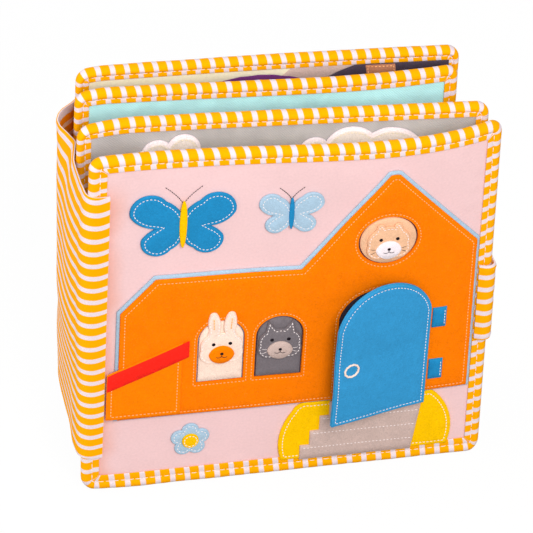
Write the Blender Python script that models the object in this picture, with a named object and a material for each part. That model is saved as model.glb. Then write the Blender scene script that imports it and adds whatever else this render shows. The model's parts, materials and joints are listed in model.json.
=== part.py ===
"""Crinkle cloth book that stands on its leaves.

Two covers and two inner leaves, each of padded cotton with a striped tape round its edge, hang on a soft
striped spine. The front cover carries a felt cottage with a door that opens, three finger puppets in its
windows, and a closing strap at its fore-edge.

Metres, +Z up. The book stands on the lower edges of its leaves, with the front cover towards -Y and the
spine at -X. A leaf is drawn in its own frame: u runs from its hinge to its fore-edge, v runs up from its
foot, and w runs out of its front, with 0 at mid thickness.
"""

import math

import bmesh
import bpy
from mathutils import Vector
from mathutils.geometry import tessellate_polygon

# Leaves
LEAF_HEIGHT = 0.200
FRONT_WIDTH = 0.1985
SECOND_NARROWER = 0.0011
THIRD_NARROWER = 0.0111
BACK_NARROWER = 0.0115
FRONT_TO_SECOND = 0.0282
SECOND_TO_THIRD = 0.0273
THIRD_TO_BACK = 0.0178
SECOND_OUTSET = 0.0015
THIRD_INSET = 0.0006
BACK_INSET = 0.0054
FRONT_TURN = math.radians(0.66)
SECOND_TURN = math.radians(-3.3)
THIRD_TURN = math.radians(-1.8)
BACK_TURN = math.radians(-2.5)

# The front cover bows towards the reader, most at its top edge and past the middle of its width
FRONT_BOW = 0.0080
BOW_POWER = 2.25
BOW_COLUMNS = 12
BOW_ROWS = 4

# Layers of a leaf. Pieces that lie on each other keep the seat between them
CLOTH = 0.0006
FILM = 0.0003
WADDING = 0.0016
SEAT = 0.0003
PANEL_HALF = CLOTH + SEAT + (WADDING + SEAT + FILM + SEAT) / 2
PANEL_INSET = 0.0016
WADDING_INSET = 0.0024

# Striped binding tape, with a rounded back that ends in a flat foot
BINDING_WIDTH = 0.0078
BINDING_TAPE = 0.0006
BINDING_HALF = PANEL_HALF + SEAT + BINDING_TAPE
BINDING_CORNER = 0.0060
BINDING_INNER_CORNER = 0.0004
BINDING_ROUND = 0.0024
SHOULDER_SHARES = (0.29, 0.84)
FOOT_SHARE = 0.57
CORNER_STEPS = 3

# Spine cloth
SPINE_FOOT_GAP = 0.0225
SPINE_HEAD_GAP = 0.0205
SPINE_CLOTH = 0.0012
SPINE_LAP_SHARE = 1.0
SPINE_ROWS = 4
SPINE_BEND = 0.0025
SPINE_WRAP_OVER = 0.0005
SPINE_FRONT_CLEAR = 0.0008
SPINE_BEFORE_HINGE = 0.0025
SPINE_AFTER_HINGE = 0.0006
SPINE_FRONT_BULGE = 0.0024
SPINE_MIDDLE_BULGE = 0.0024
SPINE_MIDDLE_POWER = 0.7
SPINE_BARREL_SHARE = 1.1
SPINE_REAR_OUT = 0.0070
SPINE_REAR_ON = 0.0059
SPINE_REAR_RETURN = 0.0115
PANEL_STEPS = 6
REAR_STEPS = 9

# Felt
FELT = 0.0010
THICK_FELT = 0.0012
THIN_FELT = 0.0004
ARC_STEP = math.radians(30)
MERGE = 0.000001

# Cottage on the front cover. Places are shares of the field inside the binding: left, bottom, right, top
BACKING_MARGIN = 0.0014
WINDOW_SHARES = [(0.240, 0.301, 0.368, 0.506), (0.400, 0.301, 0.528, 0.506)]
ATTIC_WINDOW_SHARES = (0.744, 0.738)
ATTIC_RADIUS_SHARE = 0.081
DOOR_SHARES = (0.593, 0.168, 0.883, 0.616)
DOOR_ARCH_SHARE = 0.42
DOOR_THICKNESS = 0.0020
DOOR_AJAR = math.radians(13)
DOORWAY_MARGIN = 0.0060
DOORWAY_TOP_MARGIN = 0.0080
HINGE_CLEAR = 0.0014
HINGE_TAB_WIDTH = 0.0060
HINGE_TAB_HEIGHT = 0.0120
LOWER_TAB_SHARE = 0.16
UPPER_TAB_SHARE = 0.56
RING_RADIUS = 0.0037
RING_CORD = 0.00055
RING_FROM_EDGE = 0.0085
RING_RISE_SHARE = 0.42
LINING_MARGIN = 0.0040
ROOF_BAND_DEPTH = 0.0095
ROOF_BAND_OVERHANG = 0.0030
PORCH_SHARES = (0.49, 0.95)
PORCH_TREAD_SHARE = 0.055
PORCH_FOOT_BULGE_SHARE = 0.12
PORCH_SHOULDER_BULGE_SHARE = 0.20
PORCH_RIGHT_BULGE_SHARE = 0.15
STEP_COUNT = 4

# Finger puppets
PUPPET_CLEAR = 0.0006
PUPPET_HEAD_SHARES = (0.89, 0.83)
MUZZLE_SHARES = (0.62, 0.40)
MUZZLE_RISE_SHARE = -0.45
MUZZLE_FELT = 0.0006

# Closing strap
STRAP_WIDTH = 0.0450
STRAP_MIDDLE_SHARE = 0.4675
STRAP_CLOTH = 0.0012
STRAP_LAP_SHARE = 0.93
STRAP_LENGTH = 0.0600
STRAP_BEND = 0.0025
STRAP_END_CORNER = 0.0080
PATCH_LENGTH = 0.0200
PATCH_MARGIN = 0.0060
PATCH_THICKNESS = 0.0008
PATCH_CORNER = 0.0020

# Motifs as shares of the field: width, height, middle across, middle up
BIG_BUTTERFLY_SHARES = (0.300, 0.204, 0.193, 0.826)
SMALL_BUTTERFLY_SHARES = (0.185, 0.138, 0.478, 0.842)
FLOWER_SHARES = (0.134, 0.133, 0.237, 0.104)
FLOWER_HEART_SHARE = 0.17
FLOWER_PETALS = 5
LEFT_BUSH_SHARES = (0.309, 0.261, 0.204, 0.848)
RIGHT_BUSH_SHARES = (0.397, 0.283, 0.700, 0.842)
SAND_HILL_SHARES = (0.527, 0.272, 0.585, 0.810)
PURPLE_HILL_SHARES = (0.363, 0.218, 0.509, 0.870)
CHARCOAL_HILL_SHARES = (0.410, 0.228, 0.784, 0.865)

# Outlines, clockwise. Cottage points are shares of the field, the rest shares of a half width and a half
# height. The third share bulges the side to the next point outwards: 0 is straight and 0.5 a half circle
WALL_OUTLINE_SHARES = [
    (0.03, 0.195, 0.0),
    (0.03, 0.550, 0.0),
    (0.12, 0.655, 0.0),
    (0.515, 0.655, 0.0),
    (0.738, 0.955, 0.08),
    (0.765, 0.955, 0.0),
    (1.0, 0.690, 0.0),
    (1.0, 0.195, 0.0),
]
ANNEX_OUTLINE_SHARES = [(0.0, 0.205, 0.0), (0.0, 0.356, 0.0), (0.198, 0.445, 0.0), (0.198, 0.205, 0.0)]
BUTTERFLY_OUTLINE_SHARES = [
    (0.0, 0.20, 0.10),
    (0.30, 0.70, 0.42),
    (0.92, 0.30, 0.14),
    (0.46, -0.12, 0.08),
    (0.72, -0.45, 0.42),
    (0.20, -0.80, 0.12),
    (0.0, -0.42, 0.12),
    (-0.20, -0.80, 0.42),
    (-0.72, -0.45, 0.08),
    (-0.46, -0.12, 0.14),
    (-0.92, 0.30, 0.42),
    (-0.30, 0.70, 0.10),
]
LEFT_BUSH_OUTLINE_SHARES = [
    (-0.92, -0.90, 0.26),
    (-0.70, 0.20, 0.32),
    (0.00, 0.52, 0.40),
    (0.80, 0.10, 0.26),
    (0.92, -0.90, 0.0),
]
RIGHT_BUSH_OUTLINE_SHARES = [
    (-0.96, -0.90, 0.16),
    (-0.85, -0.05, 0.30),
    (-0.42, 0.28, 0.42),
    (0.22, 0.42, 0.34),
    (0.85, 0.0, 0.20),
    (0.96, -0.90, 0.0),
]
HILL_OUTLINE_SHARES = [(-1.0, -1.0, 0.12), (-0.45, 0.72, 0.20), (0.45, 0.72, 0.12), (1.0, -1.0, 0.0)]
MUZZLE_OUTLINE_SHARES = [(-1.0, 0.0, 0.42), (1.0, 0.0, 0.42)]
PETAL_REACH_SHARE = 0.6
PETAL_BULGE_SHARE = 0.46
CHEEK_SHARES = [(0.72, 0.68, 0.16), (1.0, -0.16, 0.30), (0.4, -1.0, 0.05), (-0.4, -1.0, 0.30)]
BROW_SHARES = [(-1.0, -0.16, 0.16), (-0.72, 0.68, 0.0)]
RABBIT_EAR_SHARES = [
    (-0.62, 1.07, 0.08),
    (-0.62, 2.02, 0.35),
    (-0.26, 2.10, 0.10),
    (-0.12, 0.87, 0.0),
    (0.12, 0.87, 0.10),
    (0.26, 2.10, 0.35),
    (0.62, 2.02, 0.08),
    (0.62, 1.07, 0.0),
]
CAT_EAR_SHARES = [(-0.60, 1.42, 0.0), (-0.20, 0.84, 0.06), (0.20, 0.84, 0.0), (0.60, 1.42, 0.0)]
MOUSE_EAR_SHARES = [(-0.60, 0.94, 0.55), (-0.22, 0.94, 0.08), (0.22, 0.94, 0.55), (0.60, 0.94, 0.0)]

# Each puppet's ears, felt and muzzle, in the order of the windows, and the share of its window's height
# that lies below its chin
PUPPETS = [
    ("rabbit", RABBIT_EAR_SHARES, "cream_felt", "light_orange_felt"),
    ("cat", CAT_EAR_SHARES, "grey_felt", "taupe_felt"),
    ("mouse", MOUSE_EAR_SHARES, "tan_felt", "white_felt"),
]
CHIN_SHARES = (0.33, 0.33, 0.16)

COLOURS = {
    "stripe": (0.95, 0.55, 0.05),
    "pink_cotton": (0.87, 0.62, 0.62),
    "grey_cotton": (0.50, 0.46, 0.43),
    "mint_cotton": (0.48, 0.76, 0.73),
    "sand_cotton": (0.80, 0.70, 0.48),
    "wadding": (0.90, 0.90, 0.88),
    "crinkle_film": (0.75, 0.77, 0.80),
    "orange_felt": (0.95, 0.20, 0.01),
    "light_orange_felt": (0.95, 0.26, 0.02),
    "red_felt": (0.85, 0.02, 0.03),
    "blue_felt": (0.03, 0.27, 0.58),
    "pale_blue_felt": (0.44, 0.58, 0.74),
    "yellow_felt": (0.95, 0.50, 0.01),
    "taupe_felt": (0.56, 0.43, 0.36),
    "charcoal_felt": (0.06, 0.05, 0.07),
    "purple_felt": (0.14, 0.04, 0.16),
    "cream_felt": (0.87, 0.72, 0.60),
    "white_felt": (0.86, 0.82, 0.80),
    "grey_felt": (0.16, 0.14, 0.16),
    "tan_felt": (0.78, 0.44, 0.26),
    "hook_tape": (0.85, 0.84, 0.82),
}
CLOTH_ROUGHNESS = 0.9

# Depths of the felt layers on a leaf, from its front cloth outwards
BACKING_LOW = PANEL_HALF + SEAT
LINING_LOW = BACKING_LOW + FELT + SEAT
WALL_LOW = LINING_LOW + THIN_FELT + SEAT
TRIM_LOW = WALL_LOW + FELT + SEAT
UPPER_TRIM_LOW = TRIM_LOW + FELT + SEAT


class Leaf:
    """A leaf's width, its hinge line in the book's plan, its turn about that line and its bow."""

    def __init__(self, name, width, hinge, turn, bow):
        self.name = name
        self.width = width
        self.hinge = Vector(hinge)
        self.turn = turn
        self.bow = bow
        self.pivot = None

    def place(self, u, v, w):
        """The point in the frame of the leaf's pivot, where -Y is the front."""
        share = min(max(u / self.width, 0.0), 1.0)
        bow = self.bow * math.sin(math.pi * share**BOW_POWER) * v / LEAF_HEIGHT
        return (u, -(w + bow), v)

    def from_plan(self, point):
        """A point of the book's plan in the frame of the leaf's pivot."""
        offset = Vector(point) - self.hinge
        cos, sin = math.cos(self.turn), math.sin(self.turn)
        return (offset.x * cos + offset.y * sin, offset.y * cos - offset.x * sin)

    def to_plan(self, x, y):
        """A point in the frame of the leaf's pivot, on the book's plan."""
        cos, sin = math.cos(self.turn), math.sin(self.turn)
        return self.hinge + Vector((x * cos - y * sin, x * sin + y * cos))


def clear_scene():
    for obj in list(bpy.data.objects):
        bpy.data.objects.remove(obj, do_unlink=True)


def material(name):
    """One material for each finish, made when it is first asked for."""
    found = bpy.data.materials.get(name)
    if found:
        return found
    made = bpy.data.materials.new(name)
    made.use_nodes = True
    shader = made.node_tree.nodes["Principled BSDF"]
    shader.inputs["Base Color"].default_value = (*COLOURS[name], 1.0)
    shader.inputs["Roughness"].default_value = CLOTH_ROUGHNESS
    shader.inputs["Metallic"].default_value = 0.0
    return made


def pivot(name, parent, location=(0, 0, 0), turn=0.0):
    empty = bpy.data.objects.new(name, None)
    bpy.context.scene.collection.objects.link(empty)
    empty.parent = parent
    empty.location = location
    empty.rotation_euler = (0.0, 0.0, turn)
    return empty


def add_object(name, bm, parent, finish):
    """Turns a bmesh into a named object with outward faces."""
    bmesh.ops.recalc_face_normals(bm, faces=bm.faces[:])
    mesh = bpy.data.meshes.new(name)
    bm.to_mesh(mesh)
    bm.free()
    mesh.materials.append(material(finish))
    obj = bpy.data.objects.new(name, mesh)
    bpy.context.scene.collection.objects.link(obj)
    obj.parent = parent
    return obj


def arc_points(start, end, bulge):
    """Points from start up to but not including end, along an arc that bulges to the left of the way."""
    start, end = Vector(start), Vector(end)
    if not bulge:
        return [tuple(start)]
    chord = end - start
    half_angle = 2 * math.atan(2 * bulge)
    radius = chord.length / (2 * math.sin(half_angle))
    side = Vector((-chord.y, chord.x)).normalized()
    centre = (start + end) / 2 - side * radius * math.cos(half_angle)
    steps = max(2, math.ceil(2 * half_angle / ARC_STEP))
    begin = math.atan2(start.y - centre.y, start.x - centre.x)
    turns = [begin - 2 * half_angle * i / steps for i in range(steps)]
    return [(centre.x + radius * math.cos(a), centre.y + radius * math.sin(a)) for a in turns]


def curved_outline(points):
    """A closed outline from (u, v, bulge) points given clockwise, so that bulges go outwards."""
    made = []
    for (u, v, bulge), (next_u, next_v, _) in zip(points, points[1:] + points[:1]):
        made += arc_points((u, v), (next_u, next_v), bulge)
    return made


def quarter_bulge():
    return (math.sqrt(2) - 1) / 2


def box_outline(left, bottom, right, top):
    return [(left, bottom), (left, top), (right, top), (right, bottom)]


def rounded_outline(left, bottom, right, top, corner):
    """A rectangle with quarter-round corners, clockwise from its lower left."""
    bulge = quarter_bulge()
    points = [
        (left, bottom + corner, 0.0),
        (left, top - corner, bulge),
        (left + corner, top, 0.0),
        (right - corner, top, bulge),
        (right, top - corner, 0.0),
        (right, bottom + corner, bulge),
        (right - corner, bottom, 0.0),
        (left + corner, bottom, bulge),
    ]
    return curved_outline(points)


def circle_outline(middle, radius):
    return curved_outline([(middle[0] - radius, middle[1], 0.5), (middle[0] + radius, middle[1], 0.5)])


def arched_outline(left, bottom, right, top, rise_share):
    """A window or door shape: straight sides and an arched top that rises by a share of its width."""
    spring = top - (right - left) * rise_share
    return curved_outline(
        [(left, bottom, 0.0), (left, spring, rise_share), (right, spring, 0.0), (right, bottom, 0.0)]
    )


def shrink(outline, distance):
    """Moves each side of a clockwise outline inwards, or outwards for a negative distance."""
    made = []
    for before, here, after in zip(outline[-1:] + outline[:-1], outline, outline[1:] + outline[:1]):
        along_in = (Vector(here) - Vector(before)).normalized()
        along_out = (Vector(after) - Vector(here)).normalized()
        inward = Vector((along_in.y + along_out.y, -along_in.x - along_out.x)).normalized()
        stretch = max(inward.dot(Vector((along_in.y, -along_in.x))), 0.5)
        made.append(tuple(Vector(here) + inward * distance / stretch))
    return made


def field_point(leaf, across_share, up_share, margin=0.0):
    """A place in the field that the binding leaves free on a leaf, less a margin all round."""
    edge = BINDING_WIDTH + SEAT + margin
    return (
        edge + across_share * (leaf.width - 2 * edge),
        edge + up_share * (LEAF_HEIGHT - 2 * edge),
    )


def field_box(leaf, shares, margin=0.0):
    left, bottom, right, top = shares
    return (*field_point(leaf, left, bottom, margin), *field_point(leaf, right, top, margin))


def field_outline(leaf, shares, margin=0.0):
    return curved_outline([(*field_point(leaf, x, y, margin), bulge) for x, y, bulge in shares])


def motif_outline(outline_shares, width, height, middle):
    """An outline given in shares of a half width and a half height about a middle."""
    return curved_outline(
        [(middle[0] + x * width / 2, middle[1] + y * height / 2, bulge) for x, y, bulge in outline_shares]
    )


def field_motif(leaf, outline_shares, motif_shares):
    """A motif whose width, height and middle are shares of a leaf's field."""
    width_share, height_share, across, up = motif_shares
    left, bottom, right, top = field_box(leaf, (0, 0, width_share, height_share))
    return motif_outline(outline_shares, right - left, top - bottom, field_point(leaf, across, up))


def plate_into(bm, outline, holes, low, high):
    """Adds a closed flat plate to bm in (u, v, w), with its faces at the two depths low and high."""
    loops = [outline] + list(holes)
    flat = [Vector((u, v, 0.0)) for loop in loops for u, v in loop]
    caps = tessellate_polygon([[Vector((u, v, 0.0)) for u, v in loop] for loop in loops])
    if len(flat) == 4:
        caps = [(0, 1, 2, 3)]
    lower = [bm.verts.new((p.x, p.y, low)) for p in flat]
    upper = [bm.verts.new((p.x, p.y, high)) for p in flat]
    for cap in caps:
        bm.faces.new([lower[i] for i in cap])
        bm.faces.new([upper[i] for i in reversed(cap)])
    first = 0
    for loop in loops:
        ring = list(range(first, first + len(loop)))
        for a, b in zip(ring, ring[1:] + ring[:1]):
            bm.faces.new((lower[a], lower[b], upper[b], upper[a]))
        first += len(loop)


def follow_bow(bm, leaf):
    """Cuts plates along the bow's grid where the leaf is bowed, and moves them into the pivot's frame."""
    if leaf.bow:
        cuts = [((leaf.width * i / BOW_COLUMNS, 0, 0), (1, 0, 0)) for i in range(1, BOW_COLUMNS)]
        cuts += [((0, LEAF_HEIGHT * i / BOW_ROWS, 0), (0, 1, 0)) for i in range(1, BOW_ROWS)]
        for point, normal in cuts:
            everything = bm.verts[:] + bm.edges[:] + bm.faces[:]
            bmesh.ops.bisect_plane(bm, geom=everything, plane_co=point, plane_no=normal, dist=MERGE)
    for vert in bm.verts:
        vert.co = leaf.place(*vert.co)


def felt(name, leaf, outline, low, thickness, finish, holes=(), parent=None):
    """A flat piece that lies on a leaf, from the depth low outwards."""
    bm = bmesh.new()
    plate_into(bm, outline, holes, low, low + thickness)
    follow_bow(bm, leaf)
    return add_object(name, bm, parent or leaf.pivot, finish)


def binding_line(leaf, inset):
    """A line round the leaf at an inset from its edge, with a point at each of the bow's columns and rows."""
    radius = max(BINDING_CORNER - inset, BINDING_INNER_CORNER)
    columns = BOW_COLUMNS if leaf.bow else 1
    rows = BOW_ROWS if leaf.bow else 1
    low, right, top = inset + radius, leaf.width - inset - radius, LEAF_HEIGHT - inset - radius
    across = [leaf.width * i / columns for i in range(1, columns)]
    upwards = [LEAF_HEIGHT * i / rows for i in range(1, rows)]
    corners = [(right, top), (low, top), (low, low), (right, low)]
    sides = [
        [(u, LEAF_HEIGHT - inset) for u in reversed(across)],
        [(inset, v) for v in reversed(upwards)],
        [(u, inset) for u in across],
        [(leaf.width - inset, v) for v in upwards],
    ]
    line = []
    for quarter, ((u, v), side) in enumerate(zip(corners, sides)):
        for i in range(CORNER_STEPS + 1):
            angle = math.pi / 2 * (quarter + i / CORNER_STEPS)
            line.append((u + radius * math.cos(angle), v + radius * math.sin(angle)))
        line += side
    return line


def binding(leaf):
    """The striped tape folded round the four edges of a leaf, open along its inner side."""
    inner_half = BINDING_HALF - BINDING_TAPE
    shoulder_inset, shoulder_half = SHOULDER_SHARES
    front_side = [
        (BINDING_WIDTH, inner_half),
        (BINDING_WIDTH, BINDING_HALF),
        (BINDING_ROUND, BINDING_HALF),
        (BINDING_ROUND * shoulder_inset, BINDING_HALF * shoulder_half),
        (0.0, BINDING_HALF * FOOT_SHARE),
    ]
    back_side = [(inset, -w) for inset, w in reversed(front_side)]
    fold = BINDING_TAPE + SEAT
    profile = front_side + back_side + [(fold, -inner_half), (fold, inner_half)]
    bm = bmesh.new()
    rings = []
    for inset, w in profile:
        rings.append([bm.verts.new(leaf.place(u, v, w)) for u, v in binding_line(leaf, inset)])
    for ring, after in zip(rings, rings[1:] + rings[:1]):
        for i in range(len(ring)):
            k = (i + 1) % len(ring)
            bm.faces.new((ring[i], ring[k], after[k], after[i]))
    add_object(leaf.name + "_binding", bm, leaf.pivot, "stripe")


def padded_leaf(leaf, front_finish, back_finish, crinkles):
    """A leaf's cloths, its wadding, its crinkle film where it has one, and its binding."""
    cloth, pad = [
        rounded_outline(inset, inset, leaf.width - inset, LEAF_HEIGHT - inset, BINDING_CORNER - inset)
        for inset in (PANEL_INSET, WADDING_INSET)
    ]
    wadding_low = CLOTH + SEAT - PANEL_HALF
    film_low = wadding_low + WADDING + SEAT
    wadding = WADDING if crinkles else WADDING + SEAT + FILM
    felt(leaf.name + "_back_cloth", leaf, cloth, -PANEL_HALF, CLOTH, back_finish)
    felt(leaf.name + "_wadding", leaf, pad, wadding_low, wadding, "wadding")
    if crinkles:
        felt(leaf.name + "_crinkle_film", leaf, pad, film_low, FILM, "crinkle_film")
    felt(leaf.name + "_front_cloth", leaf, cloth, PANEL_HALF - CLOTH, CLOTH, front_finish)
    binding(leaf)


def strip(name, leaf, line_at, levels, thickness, finish):
    """An upright strip of cloth along a line in the leaf pivot's plan, which line_at(z) gives.

    It follows the leaf's bow where it lies on its face.
    """
    bm = bmesh.new()
    rows = []
    for z in levels:
        line = [Vector(p) for p in line_at(z)]
        sides = ([], [])
        for i, here in enumerate(line):
            along = (line[min(i + 1, len(line) - 1)] - line[max(i - 1, 0)]).normalized()
            outward = Vector((-along.y, along.x)) * thickness / 2
            for side, point in zip(sides, (here - outward, here + outward)):
                side.append(bm.verts.new(leaf.place(point.x, z, -point.y)))
        rows.append(sides[0] + sides[1][::-1])
    count = len(rows[0])
    for row, above in zip(rows, rows[1:]):
        for i in range(count):
            k = (i + 1) % count
            bm.faces.new((row[i], row[k], above[k], above[i]))
    for row in (rows[0], rows[-1]):
        for i in range(count // 2 - 1):
            bm.faces.new((row[i], row[i + 1], row[count - 2 - i], row[count - 1 - i]))
    add_object(name, bm, leaf.pivot, finish)


def spine_strip(name, leaf, plan_line_at):
    """One stretch of the spine, given on the book's plan, which moves with the leaf."""
    bottom, top = SPINE_FOOT_GAP, LEAF_HEIGHT - SPINE_HEAD_GAP
    levels = [bottom + (top - bottom) * i / SPINE_ROWS for i in range(SPINE_ROWS + 1)]
    fullness = {z: 1 + SPINE_BARREL_SHARE * math.sin(math.pi * (z - bottom) / (top - bottom)) for z in levels}

    def line_at(z):
        return [leaf.from_plan(p) for p in plan_line_at(fullness[z])]

    strip(name, leaf, line_at, levels, SPINE_CLOTH, "stripe")


def bulged(rear, near, bulge, power=1.0):
    """A plan line from its rear end to its near end that bulges to the -X side."""
    made = []
    for i in range(PANEL_STEPS + 1):
        share = 1 - i / PANEL_STEPS
        point = Vector(near).lerp(Vector(rear), share)
        point.x -= bulge * math.sin(math.pi * share**power)
        made.append(point)
    return made


def rounded_turn(corner_x, corner_y, radius):
    """A quarter turn from a line along Y at corner_x to a line along X at corner_y, both on its far side."""
    turns = [math.pi / 2 * i / CORNER_STEPS for i in range(CORNER_STEPS + 1)]
    side = math.copysign(1.0, corner_x)
    return [
        (corner_x - side * radius * (1 - math.cos(a)), corner_y + radius * (1 - math.sin(a))) for a in turns
    ]


def make_spine(front, second, third, back):
    """The spine's four stretches. Each moves with the leaf named first, so that the leaves can turn."""
    clear = SEAT + SPINE_CLOTH / 2
    face = BINDING_HALF + clear
    lap = SPINE_LAP_SHARE * BINDING_WIDTH
    wrap_end = BINDING_HALF + SPINE_WRAP_OVER
    wrap = [(-clear, wrap_end)] + rounded_turn(-clear, -face, SPINE_BEND) + [(lap, -face)]
    spine_strip("spine_front_wrap", front, lambda full: [front.to_plan(*p) for p in wrap])

    near_front = front.to_plan(-clear, wrap_end + SPINE_FRONT_CLEAR)
    before_second = second.to_plan(-clear, -SPINE_BEFORE_HINGE)
    after_second = second.to_plan(-clear, SPINE_AFTER_HINGE)
    before_third = third.to_plan(-clear, -SPINE_BEFORE_HINGE)
    after_third = third.to_plan(-clear, SPINE_AFTER_HINGE)
    spine_strip(
        "spine_front_panel",
        second,
        lambda full: bulged(before_second, near_front, SPINE_FRONT_BULGE * full),
    )
    spine_strip(
        "spine_middle_panel",
        third,
        lambda full: bulged(before_third, after_second, SPINE_MIDDLE_BULGE * full, SPINE_MIDDLE_POWER),
    )

    landing = back.to_plan(0, face)
    leaving = after_third + Vector((-SPINE_REAR_OUT, SPINE_REAR_ON))
    arriving = back.to_plan(-SPINE_REAR_RETURN, face)
    rear = [back.to_plan(lap, face)]
    for i in range(REAR_STEPS + 1):
        s = 1 - i / REAR_STEPS
        r = 1 - s
        rear.append(after_third * r**3 + leaving * 3 * r**2 * s + arriving * 3 * r * s**2 + landing * s**3)
    spine_strip("spine_rear_panel", back, lambda full: rear)


def window_outlines(leaf, grow=0.0):
    """The two arched windows and the round one under the gable, grown or shrunk by a margin."""
    made = []
    for shares in WINDOW_SHARES:
        left, bottom, right, top = field_box(leaf, shares, BACKING_MARGIN)
        made.append(arched_outline(left - grow, bottom - grow, right + grow, top + grow, 0.5))
    return made + [circle_outline(attic_middle(leaf), attic_radius(leaf) + grow)]


def attic_middle(leaf):
    return field_point(leaf, *ATTIC_WINDOW_SHARES, BACKING_MARGIN)


def attic_radius(leaf):
    left, _, right, _ = field_box(leaf, (0, 0, ATTIC_RADIUS_SHARE, 1), BACKING_MARGIN)
    return right - left


def window_spans(leaf):
    """The middle, foot and height of each window."""
    spans = []
    for shares in WINDOW_SHARES:
        left, bottom, right, top = field_box(leaf, shares, BACKING_MARGIN)
        spans.append(((left + right) / 2, bottom, top - bottom))
    middle, radius = attic_middle(leaf), attic_radius(leaf)
    return spans + [(middle[0], middle[1] - radius, 2 * radius)]


def door_box(leaf):
    return field_box(leaf, DOOR_SHARES, BACKING_MARGIN)


def cottage(leaf):
    """The felt picture on the front cover, from its backing outwards."""
    wall = field_outline(leaf, WALL_OUTLINE_SHARES, BACKING_MARGIN)
    wall_bottom = min(v for u, v in wall)
    left, bottom, hinge, top = door_box(leaf)
    doorway = arched_outline(
        left + DOORWAY_MARGIN,
        max(bottom, wall_bottom) + DOORWAY_MARGIN,
        hinge - DOORWAY_MARGIN,
        top - DOORWAY_TOP_MARGIN,
        DOOR_ARCH_SHARE,
    )
    _, cat_lining, attic_lining = window_outlines(leaf, LINING_MARGIN)
    linings = {
        "cat_window_lining": cat_lining,
        "attic_window_lining": attic_lining,
        "doorway_lining": shrink(doorway, -LINING_MARGIN),
    }
    holes = window_outlines(leaf) + [doorway]
    felt("cottage_backing", leaf, shrink(wall, -BACKING_MARGIN), BACKING_LOW, FELT, "pale_blue_felt")
    for name, outline in linings.items():
        felt(name, leaf, outline, LINING_LOW, THIN_FELT, "charcoal_felt")
    felt("cottage_wall", leaf, wall, WALL_LOW, FELT, "orange_felt", holes)
    make_annex(leaf)
    make_porch(leaf, wall_bottom - BACKING_MARGIN - SEAT)


def make_annex(leaf):
    """The side building, and the red band that is its roof."""
    annex = field_outline(leaf, ANNEX_OUTLINE_SHARES, BACKING_MARGIN)
    _, (left, eave), (right, top), _ = annex
    over = ROOF_BAND_OVERHANG
    rise = (top - eave) * over / (right - left)
    band = [
        (left, eave - ROOF_BAND_DEPTH),
        (left, eave),
        (right + over, top + rise),
        (right + over, top + rise - ROOF_BAND_DEPTH),
    ]
    felt("annex_wall", leaf, annex, TRIM_LOW, FELT, "light_orange_felt")
    felt("annex_roof_band", leaf, band, UPPER_TRIM_LOW, MUZZLE_FELT, "red_felt")


def make_porch(leaf, top):
    """The yellow porch under the door, and the flight of steps sewn on it."""
    left, bottom = field_point(leaf, PORCH_SHARES[0], 0)
    right, _ = field_point(leaf, PORCH_SHARES[1], 0)
    tread = PORCH_TREAD_SHARE * (right - left)
    porch = curved_outline(
        [
            (left, bottom, PORCH_FOOT_BULGE_SHARE),
            (left + tread, top - tread, PORCH_SHOULDER_BULGE_SHARE),
            (left + 3 * tread, top, 0.0),
            (right - 2 * tread, top, PORCH_RIGHT_BULGE_SHARE),
            (right, bottom, 0.0),
        ]
    )
    rise = (top - bottom) / STEP_COUNT
    flight = []
    for i in range(STEP_COUNT):
        step_left = left + (i + 2) * tread
        flight += [(step_left, bottom + rise * i), (step_left, bottom + rise * (i + 1))]
    flight += [(right - 3 * tread, top), (right - 4 * tread, bottom)]
    felt("porch", leaf, porch, BACKING_LOW, FELT, "yellow_felt")
    felt("porch_steps", leaf, flight, LINING_LOW, FELT, "taupe_felt")


def make_door(leaf):
    """The felt door ajar on its own pivot, with a thread ring for a handle, and the tabs that hold it."""
    left, bottom, hinge_u, top = door_box(leaf)
    axis_w = TRIM_LOW + DOOR_THICKNESS / 2
    foot = Vector(leaf.place(hinge_u, bottom, axis_w))
    head = Vector(leaf.place(hinge_u, top, axis_w))
    hinge = pivot("door_hinge", leaf.pivot, foot)
    hinge.rotation_mode = "QUATERNION"
    hinge.rotation_quaternion = Vector((0, 0, 1)).rotation_difference(head - foot)
    swing = pivot("door_swing", hinge, (0, 0, 0), DOOR_AJAR)

    outline = arched_outline(left - hinge_u, 0, -HINGE_CLEAR, top - bottom, DOOR_ARCH_SHARE)
    layer = (DOOR_THICKNESS - SEAT) / 2
    for name, low in (("door_back", -DOOR_THICKNESS / 2), ("door_front", SEAT / 2)):
        bm = bmesh.new()
        plate_into(bm, outline, (), low, low + layer)
        for vert in bm.verts:
            u, v, w = vert.co
            vert.co = (u, -w, v)
        add_object(name, bm, swing, "blue_felt")
    ring_middle = Vector(
        (
            left - hinge_u + RING_FROM_EDGE,
            -(DOOR_THICKNESS / 2 + SEAT + RING_CORD),
            RING_RISE_SHARE * (top - bottom),
        )
    )
    make_ring("door_ring", swing, ring_middle)

    near = hinge_u + HINGE_CLEAR
    for name, share in (("door_lower_tab", LOWER_TAB_SHARE), ("door_upper_tab", UPPER_TAB_SHARE)):
        low = bottom + share * (top - bottom)
        tab = box_outline(near, low, near + HINGE_TAB_WIDTH, low + HINGE_TAB_HEIGHT)
        felt(name, leaf, tab, TRIM_LOW, FELT, "blue_felt")


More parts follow.
